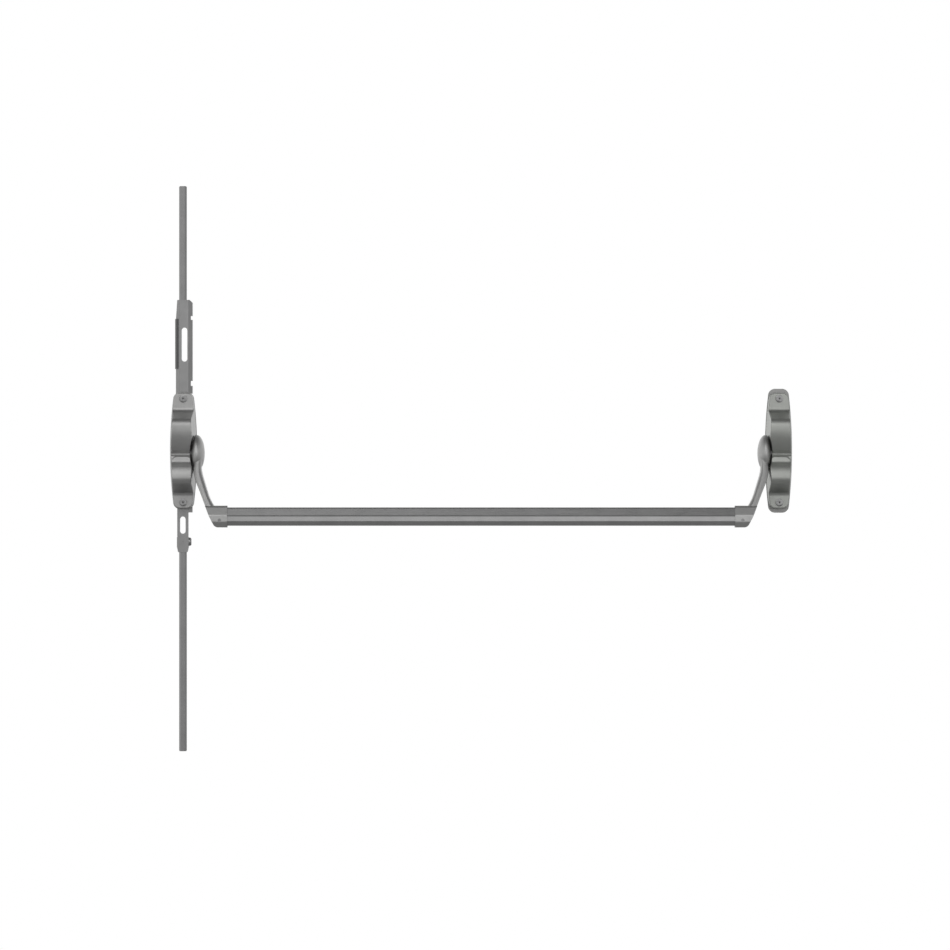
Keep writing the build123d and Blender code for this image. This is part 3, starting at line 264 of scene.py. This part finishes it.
def new_material(name):
    """An empty node material with its output and shader."""
    material = bpy.data.materials.new(name)
    material.use_nodes = True
    tree = material.node_tree
    tree.nodes.clear()
    output = tree.nodes.new("ShaderNodeOutputMaterial")
    shader = tree.nodes.new("ShaderNodeBsdfPrincipled")
    tree.links.new(shader.outputs["BSDF"], output.inputs["Surface"])
    return material, tree, shader


def add_node(tree, kind, links=None, **values):
    """A node with its sockets set by name and its properties by attribute."""
    node = tree.nodes.new(kind)
    for key, value in values.items():
        if hasattr(node, key):
            setattr(node, key, value)
        else:
            node.inputs[key.replace("_", " ")].default_value = value
    for socket, source in (links or {}).items():
        tree.links.new(source, node.inputs[socket])
    return node


def object_noise(tree, scale, stretch, detail, roughness):
    """Noise on the object's own coordinates, stretched along one way."""
    coords = add_node(tree, "ShaderNodeTexCoord")
    mapping = add_node(tree, "ShaderNodeMapping", {"Vector": coords.outputs["Object"]}, Scale=stretch)
    return add_node(tree, "ShaderNodeTexNoise", {"Vector": mapping.outputs["Vector"]},
                    Scale=scale, Detail=detail, Roughness=roughness)


def remap(tree, source, low, high, bottom=0.0, top=1.0):
    """Carries one range of values to another."""
    return add_node(tree, "ShaderNodeMapRange", {"Value": source},
                    From_Min=low, From_Max=high, To_Min=bottom, To_Max=top)


def tinted(tree, source, base, tones):
    """The base colour from a darker to a lighter tone, led by a value."""
    mix = add_node(tree, "ShaderNodeMix", {"Factor": source}, data_type="RGBA")
    for name, tone in zip("AB", tones):
        socket = next(s for s in mix.inputs if s.type == "RGBA" and s.name == name)
        socket.default_value = (*(min(1.0, c * tone) for c in base), 1)
    return next(s for s in mix.outputs if s.type == "RGBA")


def metal(name, base, rough, grain, stretch=EVEN, speckle=0.0):
    """Plated, drawn or machined metal: fine marks in roughness and bump, and slow cloudy tone."""
    material, tree, shader = new_material(name)
    marks = object_noise(tree, MARK_SCALE, stretch, detail=3.0, roughness=0.6)
    cloud = object_noise(tree, CLOUD_SCALE, EVEN, detail=3.0, roughness=0.5)
    tone = remap(tree, cloud.outputs["Fac"], *NOISE_RANGE)
    tree.links.new(tinted(tree, tone.outputs["Result"], base, CLOUD_TONES),
                   shader.inputs["Base Color"])
    spread = remap(tree, marks.outputs["Fac"], *NOISE_RANGE, rough - ROUGH_BELOW, rough + ROUGH_ABOVE)
    tree.links.new(spread.outputs["Result"], shader.inputs["Roughness"])
    bump = add_node(tree, "ShaderNodeBump", {"Height": marks.outputs["Fac"]},
                    Strength=grain, Distance=MARK_DEPTH)
    if speckle:
        pits = object_noise(tree, PIT_SCALE, EVEN, detail=2.0, roughness=0.5)
        bump = add_node(tree, "ShaderNodeBump",
                        {"Height": pits.outputs["Fac"], "Normal": bump.outputs["Normal"]},
                        Strength=speckle, Distance=PIT_DEPTH)
    tree.links.new(bump.outputs["Normal"], shader.inputs["Normal"])
    shader.inputs["Metallic"].default_value = METALLIC
    return material


def paint_groove_shade(material, height, tone):
    """Darkens a metal's colour along one level line of its front: painted shade for a narrow groove."""
    tree = material.node_tree
    coords = add_node(tree, "ShaderNodeTexCoord")
    split = add_node(tree, "ShaderNodeSeparateXYZ", {"Vector": coords.outputs["Object"]})
    rise = add_node(tree, "ShaderNodeMath", {0: split.outputs["Z"]}, operation="SUBTRACT")
    rise.inputs[1].default_value = height
    away = add_node(tree, "ShaderNodeMath", {0: rise.outputs[0]}, operation="ABSOLUTE")
    front_ends = [BAR_BOX[0][1] + depth for depth in PAINTED_SHADE_DEPTHS]
    back = remap(tree, split.outputs["Y"], *front_ends, 0.0, PAINTED_SHADE_AWAY)
    total = add_node(tree, "ShaderNodeMath", {0: away.outputs[0], 1: back.outputs["Result"]},
                     operation="ADD")
    share = remap(tree, total.outputs[0], *PAINTED_SHADE_WIDTHS, tone, 1.0)
    base = next(n for n in tree.nodes if n.type == "BSDF_PRINCIPLED").inputs["Base Color"]
    # Painted shade: the base colour is scaled down near the groove line on the bar's front
    shaded = add_node(tree, "ShaderNodeVectorMath", {0: base.links[0].from_socket}, operation="SCALE")
    tree.links.new(share.outputs["Result"], shaded.inputs["Scale"])
    tree.links.new(shaded.outputs["Vector"], base)


def plastic(name, base, rough, scale, depth):
    """Moulded rubber or plastic with a fine matt grain."""
    material, tree, shader = new_material(name)
    grain = object_noise(tree, scale, EVEN, detail=4.0, roughness=0.6)
    tone = remap(tree, grain.outputs["Fac"], *NOISE_RANGE)
    tree.links.new(tinted(tree, tone.outputs["Result"], base, GRAIN_TONES),
                   shader.inputs["Base Color"])
    bump = add_node(tree, "ShaderNodeBump", {"Height": grain.outputs["Fac"]},
                    Strength=depth, Distance=MARK_DEPTH)
    tree.links.new(bump.outputs["Normal"], shader.inputs["Normal"])
    shader.inputs["Roughness"].default_value = rough
    return material


# Modelling helpers

def deselect_all():
    """Nothing selected and nothing active."""
    bpy.ops.object.select_all(action="DESELECT")
    bpy.context.view_layer.objects.active = None


def make_active(obj):
    """Only this object selected."""
    deselect_all()
    obj.select_set(True)
    bpy.context.view_layer.objects.active = obj


def paint(node, material):
    """Gives a CAD node its material."""
    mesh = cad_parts[node].data
    mesh.materials.clear()
    mesh.materials.append(material)


def soften(node, width):
    """Live modifiers that round a CAD node's edges without touching its mesh."""
    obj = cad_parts[node]
    weld = obj.modifiers.new("Weld", "WELD")
    weld.merge_threshold = WELD_GAP
    flat = obj.modifiers.new("Flatten", "DECIMATE")
    flat.decimate_type = "DISSOLVE"
    flat.angle_limit = FLAT_ANGLE
    bevel = obj.modifiers.new("Soft edge", "BEVEL")
    bevel.width = width
    bevel.segments = settings().edges.steps
    bevel.limit_method = "ANGLE"
    bevel.angle_limit = EDGE_ANGLE
    bevel.use_clamp_overlap = True
    bevel.miter_outer = "MITER_ARC"
    normals = obj.modifiers.new("Normals", "WEIGHTED_NORMAL")
    normals.keep_sharp = False


def dress(nodes, material, width=0.0):
    """Material and edge softness for like nodes."""
    for node in nodes:
        paint(node, material)
        if width:
            soften(node, width)


def finish_piece(obj, name, material, body, replaced):
    """Names a new piece and ties it to the frame when it has a body."""
    obj.name = name
    obj.data.name = name
    obj.data.materials.clear()
    obj.data.materials.append(material)
    if body:
        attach(obj, body)
    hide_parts(replaced)


def apply_place(obj):
    """Puts the object's place, turn and size into its mesh."""
    make_active(obj)
    bpy.ops.object.transform_apply(location=True, rotation=True, scale=True)


def select_faces(obj, test):
    """Selects faces in edit mode by their centre and normal."""
    bpy.ops.object.mode_set(mode="OBJECT")
    for face in obj.data.polygons:
        face.select = test(face.center, face.normal)
    bpy.ops.object.mode_set(mode="EDIT")


def join(objects):
    """Joins pieces into the first."""
    deselect_all()
    for obj in objects:
        obj.select_set(True)
    bpy.context.view_layer.objects.active = objects[0]
    bpy.ops.object.join()
    return objects[0]


# Operators

class EXITDEVICE_OT_covers(bpy.types.Operator):
    """Cast skins with a satin finish for both case covers, and their base plates"""

    bl_idname = "exit_device.covers"
    bl_label = "Case Covers"

    def execute(self, context):
        finish, edges = settings().finish, settings().edges
        for node, name, base in (("active_cover", "satin_case", finish.case),
                                 ("hinge_cover", "satin_case_hinge", finish.hinge_case)):
            material = metal(name, base, finish.satin, finish.grain, stretch=(1, 1, 0.05), speckle=0.05)
            finish_piece(self.cast(node, edges), f"{node}_shell", material, "mounting", node)
        dress(["active_base_plate", "hinge_base_plate"],
              metal("cast_plate", finish.plate, finish.satin + 0.08, grain=0.15, speckle=0.12))
        return {"FINISHED"}

    @staticmethod
    def cast(node, edges):
        """A copy of a cover, remeshed and relaxed so that each edge is round as on a casting."""
        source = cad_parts[node]
        shell = source.copy()
        shell.data = source.data.copy()
        bpy.context.scene.collection.objects.link(shell)
        make_active(shell)
        bpy.ops.object.mode_set(mode="EDIT")
        bpy.ops.mesh.select_all(action="SELECT")
        bpy.ops.mesh.remove_doubles(threshold=SKIN_WELD)
        bpy.ops.object.mode_set(mode="OBJECT")
        skin = shell.modifiers.new("Skin", "REMESH")
        skin.mode = "VOXEL"
        skin.voxel_size = edges.voxel
        relax = shell.modifiers.new("Relax", "SMOOTH")
        relax.factor = RELAX_FACTOR
        relax.iterations = edges.relax
        thin = shell.modifiers.new("Thin out", "DECIMATE")
        thin.ratio = SKIN_SHARE
        for modifier in (skin, relax, thin):
            bpy.ops.object.modifier_apply(modifier=modifier.name)
        bpy.ops.object.shade_smooth()
        return shell


class EXITDEVICE_OT_levers(bpy.types.Operator):
    """Satin finish and soft edges for the two lever arms"""

    bl_idname = "exit_device.levers"
    bl_label = "Lever Arms"

    def execute(self, context):
        finish, edges = settings().finish, settings().edges
        dress(["active_lever_arm", "hinge_lever_arm"],
              metal("satin_lever", finish.lever, finish.satin, finish.grain,
                    stretch=(1, 1, 0.2), speckle=0.05),
              edges.cast)
        return {"FINISHED"}


class EXITDEVICE_OT_crossbar(bpy.types.Operator):
    """Lengthwise brushed finish for the crossbar, with painted shade along its groove"""

    bl_idname = "exit_device.crossbar"
    bl_label = "Crossbar"

    def execute(self, context):
        finish, edges = settings().finish, settings().edges
        material = metal("brushed_bar", finish.bar, finish.drawn, finish.grain, stretch=(0.02, 1, 1))
        low, high = BAR_BOX[0][2], BAR_BOX[1][2]
        # Painted shade along the groove of the bar's front
        paint_groove_shade(material, low + (high - low) * edges.groove, edges.painted_groove_shade)
        dress(["push_bar"], material, edges.sheet)
        return {"FINISHED"}


class EXITDEVICE_OT_rods(bpy.types.Operator):
    """Drawn and plated finishes for the rods, slides and their guides"""

    bl_idname = "exit_device.rods"
    bl_label = "Rods and Slides"

    def execute(self, context):
        finish, edges = settings().finish, settings().edges
        dress(["upper_rod", "lower_rod"],
              metal("rod_steel", finish.rod, finish.drawn, grain=0.10, stretch=(1, 1, 0.02)),
              edges.machined)
        dress(["upper_slide", "lower_slide", "lower_knuckle", "upper_rack", "upper_end_block",
               "slide_guide_straps"],
              metal("slide_steel", finish.slide, finish.drawn + 0.06, grain=0.08,
                    stretch=(1, 1, 0.1), speckle=0.06),
              edges.sheet)
        dress(["upper_guide_strip"],
              plastic("dark_strip", finish.strip, rough=0.5, scale=1500.0, depth=0.3), edges.sheet)
        dress(["slide_guide_pads"],
              plastic("nylon_pad", finish.nylon, rough=0.45, scale=1200.0, depth=0.2), edges.sheet)
        return {"FINISHED"}


class EXITDEVICE_OT_screws(bpy.types.Operator):
    """Truss-head cover screws with a cross recess, modelled once and copied to each case"""

    bl_idname = "exit_device.screws"
    bl_label = "Cover Screws"

    def execute(self, context):
        finish, sizes = settings().finish, settings().screws
        material = metal("screw_head", finish.screw, rough=0.24, grain=0.06)
        screw = self.make_screw(sizes)
        for name, shift in (("active", 0.0), ("hinge", CASE_SPACING)):
            pair = [self.place(screw, SCREW_X + shift, z, turn)
                    for z, turn in zip((SCREW_TOP_Z, SCREW_LOW_Z), HEAD_TURNS)]
            finish_piece(join(pair), f"{name}_cover_screw_heads", material, "mounting",
                         f"{name}_cover_screws")
        bpy.data.objects.remove(screw)
        return {"FINISHED"}

    @staticmethod
    def make_screw(sizes):
        """Head, drive recess and shank along Z, head up, its underside at nought."""
        deselect_all()
        bpy.ops.mesh.primitive_cylinder_add(
            vertices=HEAD_SIDES, radius=HEAD_RADIUS, depth=sizes.rim_height,
            location=(0, 0, sizes.rim_height / 2))
        head = bpy.context.object
        apply_place(head)
        rise = sizes.head_height - sizes.rim_height
        ball = (HEAD_RADIUS**2 + rise**2) / (2 * rise)
        select_faces(head, lambda centre, normal: normal.z > UPRIGHT)
        rings = [HEAD_RADIUS * share for share in HEAD_RINGS]
        for outer, inner in zip(rings, rings[1:]):
            step = math.sqrt(ball**2 - inner**2) - math.sqrt(ball**2 - outer**2)
            bpy.ops.mesh.inset(thickness=outer - inner, depth=0)
            bpy.ops.transform.translate(value=(0, 0, step))
        select_faces(head, lambda centre, normal: normal.z < -UPRIGHT)
        bpy.ops.mesh.inset(thickness=HEAD_RADIUS - sizes.shank_radius, depth=0)
        bpy.ops.mesh.extrude_region_move(
            TRANSFORM_OT_translate={"value": (0, 0, SHANK_CHAMFER - sizes.shank_end)})
        bpy.ops.mesh.inset(thickness=SHANK_CHAMFER, depth=0)
        bpy.ops.transform.translate(value=(0, 0, -SHANK_CHAMFER))
        bpy.ops.object.mode_set(mode="OBJECT")
        arms = []
        for turn in (0, math.pi / 2):
            deselect_all()
            bpy.ops.mesh.primitive_cube_add(size=1, location=(0, 0, sizes.head_height))
            arm = bpy.context.object
            arm.scale = (sizes.slot_length, sizes.slot_width, 2 * sizes.slot_depth)
            apply_place(arm)
            select_faces(arm, lambda centre, normal: normal.z < -UPRIGHT)
            bpy.ops.transform.resize(value=RECESS_TAPER, center_override=(0, 0, 0))
            bpy.ops.object.mode_set(mode="OBJECT")
            arm.rotation_euler = (0, 0, turn)
            apply_place(arm)
            arms.append(arm)
        for arm in arms:
            cut = head.modifiers.new("Recess", "BOOLEAN")
            cut.operation = "DIFFERENCE"
            cut.solver = "EXACT"
            cut.object = arm
            make_active(head)
            bpy.ops.object.modifier_apply(modifier=cut.name)
            bpy.data.objects.remove(arm)
        bevel = head.modifiers.new("Soft edge", "BEVEL")
        bevel.width = HEAD_SOFT
        bevel.segments = HEAD_STEPS
        bevel.limit_method = "ANGLE"
        bevel.angle_limit = HEAD_ANGLE
        make_active(head)
        bpy.ops.object.modifier_apply(modifier=bevel.name)
        bpy.ops.object.shade_smooth_by_angle(angle=HEAD_ANGLE)
        return head

    @staticmethod
    def place(screw, x, z, turn):
        """A copy of the screw with its own mesh, facing out of the cover."""
        copy = screw.copy()
        copy.data = screw.data.copy()
        bpy.context.scene.collection.objects.link(copy)
        seat = HEAD_FRONT + settings().screws.head_height
        copy.rotation_euler = (math.pi / 2, turn, 0)
        copy.location = (x, seat, z)
        apply_place(copy)
        return copy


class EXITDEVICE_OT_springs(bpy.types.Operator):
    """Torsion return springs of round wire, one in each case"""

    bl_idname = "exit_device.springs"
    bl_label = "Return Springs"

    def execute(self, context):
        finish, sizes = settings().finish, settings().springs
        material = metal("spring_wire", finish.spring, rough=0.3, grain=0.05)
        spring = self.wind(sizes)
        deselect_all()
        other = spring.copy()
        other.data = spring.data.copy()
        bpy.context.scene.collection.objects.link(other)
        other.scale = (-1, 1, 1)
        other.location = (CASE_SPACING, 0, 0)
        apply_place(other)
        bpy.ops.object.mode_set(mode="EDIT")
        bpy.ops.mesh.select_all(action="SELECT")
        bpy.ops.mesh.normals_make_consistent(inside=False)
        bpy.ops.object.mode_set(mode="OBJECT")
        # Places along X of the leg that stays in the plate and of the leg that turns with the shaft.
        still = SPRING_BOX[0][0] + 2 * sizes.wire
        turning = SPRING_BOX[0][0] + sizes.pitch * sizes.turns
        for obj, side, start, end in ((spring, "active", still, turning),
                                      (other, "hinge", CASE_SPACING - still, CASE_SPACING - turning)):
            finish_piece(obj, f"{side}_spring_wire", material, None, f"{side}_return_spring")
            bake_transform(obj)
        return {"FINISHED"}

    @staticmethod
    def wind(sizes):
        """A round section carried round the shaft, with both legs drawn out of its ends."""
        start_x = SPRING_BOX[0][0] + sizes.wire
        end_x = start_x + sizes.pitch * sizes.turns
        deselect_all()
        bpy.ops.mesh.primitive_circle_add(
            vertices=WIRE_SIDES, radius=sizes.wire, fill_type="NOTHING",
            location=(start_x, PIVOT_Y, -sizes.coil), rotation=(math.pi / 2, 0, 0))
        obj = bpy.context.object
        apply_place(obj)
        bpy.ops.object.mode_set(mode="EDIT")
        bpy.ops.mesh.select_all(action="SELECT")
        # The leg to the plate comes first, then the turns, then the leg to the tongue.
        plate_leg = SPRING_BOX[1][1] - PIVOT_Y
        bpy.ops.transform.translate(value=(0, plate_leg, 0))
        bpy.ops.mesh.extrude_edges_move(TRANSFORM_OT_translate={"value": (0, -plate_leg, 0)})
        steps = int(COIL_STEPS * sizes.turns)
        for _ in range(steps):
            bpy.ops.mesh.extrude_edges_move(
                TRANSFORM_OT_translate={"value": (sizes.pitch * sizes.turns / steps, 0, 0)})
            bpy.ops.transform.rotate(value=2 * math.pi * sizes.turns / steps, orient_axis="X",
                                     center_override=(0, PIVOT_Y, 0))
        bpy.ops.mesh.extrude_edges_move(
            TRANSFORM_OT_translate={"value": (0, sizes.leg - sizes.bend, 0)})
        corner = (end_x + sizes.bend, PIVOT_Y + sizes.leg - sizes.bend, sizes.coil)
        for _ in range(BEND_STEPS):
            bpy.ops.mesh.extrude_edges_move(TRANSFORM_OT_translate={"value": (0, 0, 0)})
            bpy.ops.transform.rotate(value=math.radians(90 / BEND_STEPS), orient_axis="Z",
                                     center_override=corner)
        bpy.ops.mesh.extrude_edges_move(
            TRANSFORM_OT_translate={"value": (SPRING_BOX[1][0] - end_x - sizes.bend, 0, 0)})
        bpy.ops.mesh.edge_face_add()
        bpy.ops.mesh.select_all(action="SELECT")
        bpy.ops.mesh.fill_holes(sides=0)
        bpy.ops.mesh.remove_doubles(threshold=WELD_GAP)
        bpy.ops.mesh.normals_make_consistent(inside=False)
        bpy.ops.object.mode_set(mode="OBJECT")
        bpy.ops.object.shade_smooth_by_angle(angle=WIRE_ANGLE)
        return obj


class EXITDEVICE_OT_works(bpy.types.Operator):
    """Finishes for shaft, bushes, tongue, rack drive, stops and rings"""

    bl_idname = "exit_device.works"
    bl_label = "Inner Works"

    def execute(self, context):
        finish, edges = settings().finish, settings().edges
        dress(["active_shaft", "hinge_shaft", "lift_tongue", "hinge_stop_collar", "pinion",
               "pinion_stud"],
              metal("gear_steel", finish.gear, rough=0.32, grain=0.10, stretch=(0.05, 1, 1)))
        dress(["active_shaft_bushes", "hinge_shaft_bushes"],
              metal("bronze_bush", finish.bronze, rough=0.42, grain=0.12, speckle=0.2))
        dress(["active_shaft_ring", "hinge_shaft_ring", "pinion_clip"],
              metal("spring_steel", finish.spring, rough=0.34, grain=0.08))
        dress(["socket_screws", "hub_set_screws", "upper_rod_nut", "knuckle_pin",
               "knuckle_lock_screw", "collar_pins"],
              metal("screw_steel", finish.screw, rough=0.3, grain=0.08))
        dress(["active_rubber_stop", "hinge_rubber_stop"],
              plastic("black_rubber", finish.rubber, rough=0.7, scale=1600.0, depth=0.4), edges.sheet)
        return {"FINISHED"}


class EXITDEVICE_OT_stage(bpy.types.Operator):
    """Camera, lamps, floor and white background"""

    bl_idname = "exit_device.stage"
    bl_label = "Stage"

    def execute(self, context):
        stage = settings().stage
        scene = context.scene
        scene.view_settings.view_transform = "Standard"
        middle = Vector((stage.centre_x, 0, stage.centre_z))
        self.set_camera(scene, stage, middle)

        deselect_all()
        bpy.ops.mesh.primitive_plane_add(size=FLOOR_SIZE,
                                         location=(stage.centre_x, FLOOR_Y, stage.floor_z))
        floor = context.object
        apply_place(floor)
        floor.name = "floor"
        floor.data.materials.append(self.floor_material(stage.ground))

        for name, spot, watts in (("key", KEY_PLACE, stage.key_power),
                                  ("fill", FILL_PLACE, stage.fill_power),
                                  ("back", BACK_PLACE, stage.fill_power)):
            lamp = bpy.data.lights.new(name, "AREA")
            lamp.shape = "DISK"
            lamp.size = stage.lamp_size
            lamp.energy = watts
            obj = bpy.data.objects.new(name, lamp)
            scene.collection.objects.link(obj)
            obj.location = spot
            obj.rotation_euler = (middle - Vector(spot)).to_track_quat("-Z", "Y").to_euler()
        self.light_world(scene, stage)
        return {"FINISHED"}

    @staticmethod
    def set_camera(scene, stage, middle):
        """Level camera in front of the door, framed as in the photograph."""
        lens = bpy.data.cameras.new("camera")
        camera = bpy.data.objects.new("camera", lens)
        scene.collection.objects.link(camera)
        camera.location = middle + Vector((0, -stage.distance, 0))
        camera.rotation_euler = (math.radians(90), 0, 0)
        lens.sensor_width = SENSOR
        lens.lens = SENSOR * stage.distance / stage.frame_width
        lens.clip_end = CLIP_END
        scene.camera = camera

    @staticmethod
    def floor_material(ground):
        """Pale floor: near white where it is seen, with its shadow, and dim where metal mirrors it."""
        material, tree, shader = new_material("stage_floor")
        shader.inputs["Roughness"].default_value = FLOOR_ROUGHNESS
        shader.inputs["Base Color"].default_value = FLOOR_TONE
        path = add_node(tree, "ShaderNodeLightPath")
        share = remap(tree, path.outputs["Is Camera Ray"], 0.0, 1.0, 0.0, FLOOR_GLOW)
        white = add_node(tree, "ShaderNodeEmission", Strength=1.0)
        dim = add_node(tree, "ShaderNodeEmission", Strength=ground)
        seen = add_node(
            tree, "ShaderNodeMixShader",
            {0: share.outputs["Result"], 1: shader.outputs["BSDF"], 2: white.outputs["Emission"]})
        mirrored = add_node(
            tree, "ShaderNodeMixShader",
            {0: path.outputs["Is Glossy Ray"], 1: seen.outputs[0], 2: dim.outputs["Emission"]})
        output = next(n for n in tree.nodes if n.type == "OUTPUT_MATERIAL")
        tree.links.new(mirrored.outputs[0], output.inputs["Surface"])
        return material

    @staticmethod
    def light_world(scene, stage):
        """White where it is seen. What metal mirrors darkens above, below and to one side."""
        world = bpy.data.worlds.new("studio")
        scene.world = world
        world.use_nodes = True
        tree = world.node_tree
        tree.nodes.clear()
        output = tree.nodes.new("ShaderNodeOutputWorld")
        path = add_node(tree, "ShaderNodeLightPath")
        coords = add_node(tree, "ShaderNodeTexCoord")
        split = add_node(tree, "ShaderNodeSeparateXYZ", {"Vector": coords.outputs["Generated"]})
        above = remap(tree, split.outputs["Z"], *ABOVE, stage.horizon, stage.dusk)
        below = remap(tree, split.outputs["Z"], *BELOW, stage.ground, stage.horizon)
        fall = add_node(tree, "ShaderNodeMath", {0: above.outputs["Result"], 1: below.outputs["Result"]},
                        operation="MINIMUM")
        beside = remap(tree, split.outputs["X"], *BESIDE, 1.0, stage.side)
        room = add_node(tree, "ShaderNodeMath", {0: fall.outputs[0], 1: beside.outputs["Result"]},
                        operation="MULTIPLY")
        glossy = add_node(tree, "ShaderNodeBackground", {"Strength": room.outputs[0]}, Color=WHITE)
        plain = add_node(tree, "ShaderNodeBackground", Color=WHITE, Strength=stage.sky)
        white = add_node(tree, "ShaderNodeBackground", Color=WHITE, Strength=1.0)
        first = add_node(tree, "ShaderNodeMixShader",
                         {0: path.outputs["Is Glossy Ray"], 1: plain.outputs[0], 2: glossy.outputs[0]})
        seen = add_node(tree, "ShaderNodeMath",
                        {0: path.outputs["Is Camera Ray"], 1: path.outputs["Is Transmission Ray"]},
                        operation="MAXIMUM")
        last = add_node(tree, "ShaderNodeMixShader",
                        {0: seen.outputs[0], 1: first.outputs[0], 2: white.outputs[0]})
        tree.links.new(last.outputs[0], output.inputs["Surface"])


class EXITDEVICE_PT_panel(bpy.types.Panel):
    """Buttons for each group of pieces"""

    bl_label = "Exit Device"
    bl_idname = "EXITDEVICE_PT_panel"
    bl_space_type = "VIEW_3D"
    bl_region_type = "UI"
    bl_category = "Exit Device"

    def draw(self, context):
        for operator in OPERATORS:
            self.layout.operator(operator.bl_idname)
        for group in (settings().finish, settings().edges, settings().screws, settings().springs,
                      settings().stage):
            box = self.layout.box()
            for name in group.__annotations__:
                box.prop(group, name)


OPERATORS = (
    EXITDEVICE_OT_covers,
    EXITDEVICE_OT_levers,
    EXITDEVICE_OT_crossbar,
    EXITDEVICE_OT_rods,
    EXITDEVICE_OT_screws,
    EXITDEVICE_OT_springs,
    EXITDEVICE_OT_works,
    EXITDEVICE_OT_stage,
)
CLASSES = (FinishSettings, EdgeSettings, ScrewSettings, SpringSettings, StageSettings, DeviceSettings,
           *OPERATORS, EXITDEVICE_PT_panel)


def register():
    """Registers the classes and the device's settings on the scene."""
    for item in CLASSES:
        bpy.utils.register_class(item)
    bpy.types.Scene.exit_device = PointerProperty(type=DeviceSettings)


def unregister():
    """Takes the settings and classes out again."""
    del bpy.types.Scene.exit_device
    for item in reversed(CLASSES):
        bpy.utils.unregister_class(item)


def main():
    """Builds every group of pieces in order, then the stage."""
    register()
    bpy.ops.exit_device.covers()
    bpy.ops.exit_device.levers()
    bpy.ops.exit_device.crossbar()
    bpy.ops.exit_device.rods()
    bpy.ops.exit_device.screws()
    bpy.ops.exit_device.springs()
    bpy.ops.exit_device.works()
    bpy.ops.exit_device.stage()


if __name__ == "__main__":
    main()
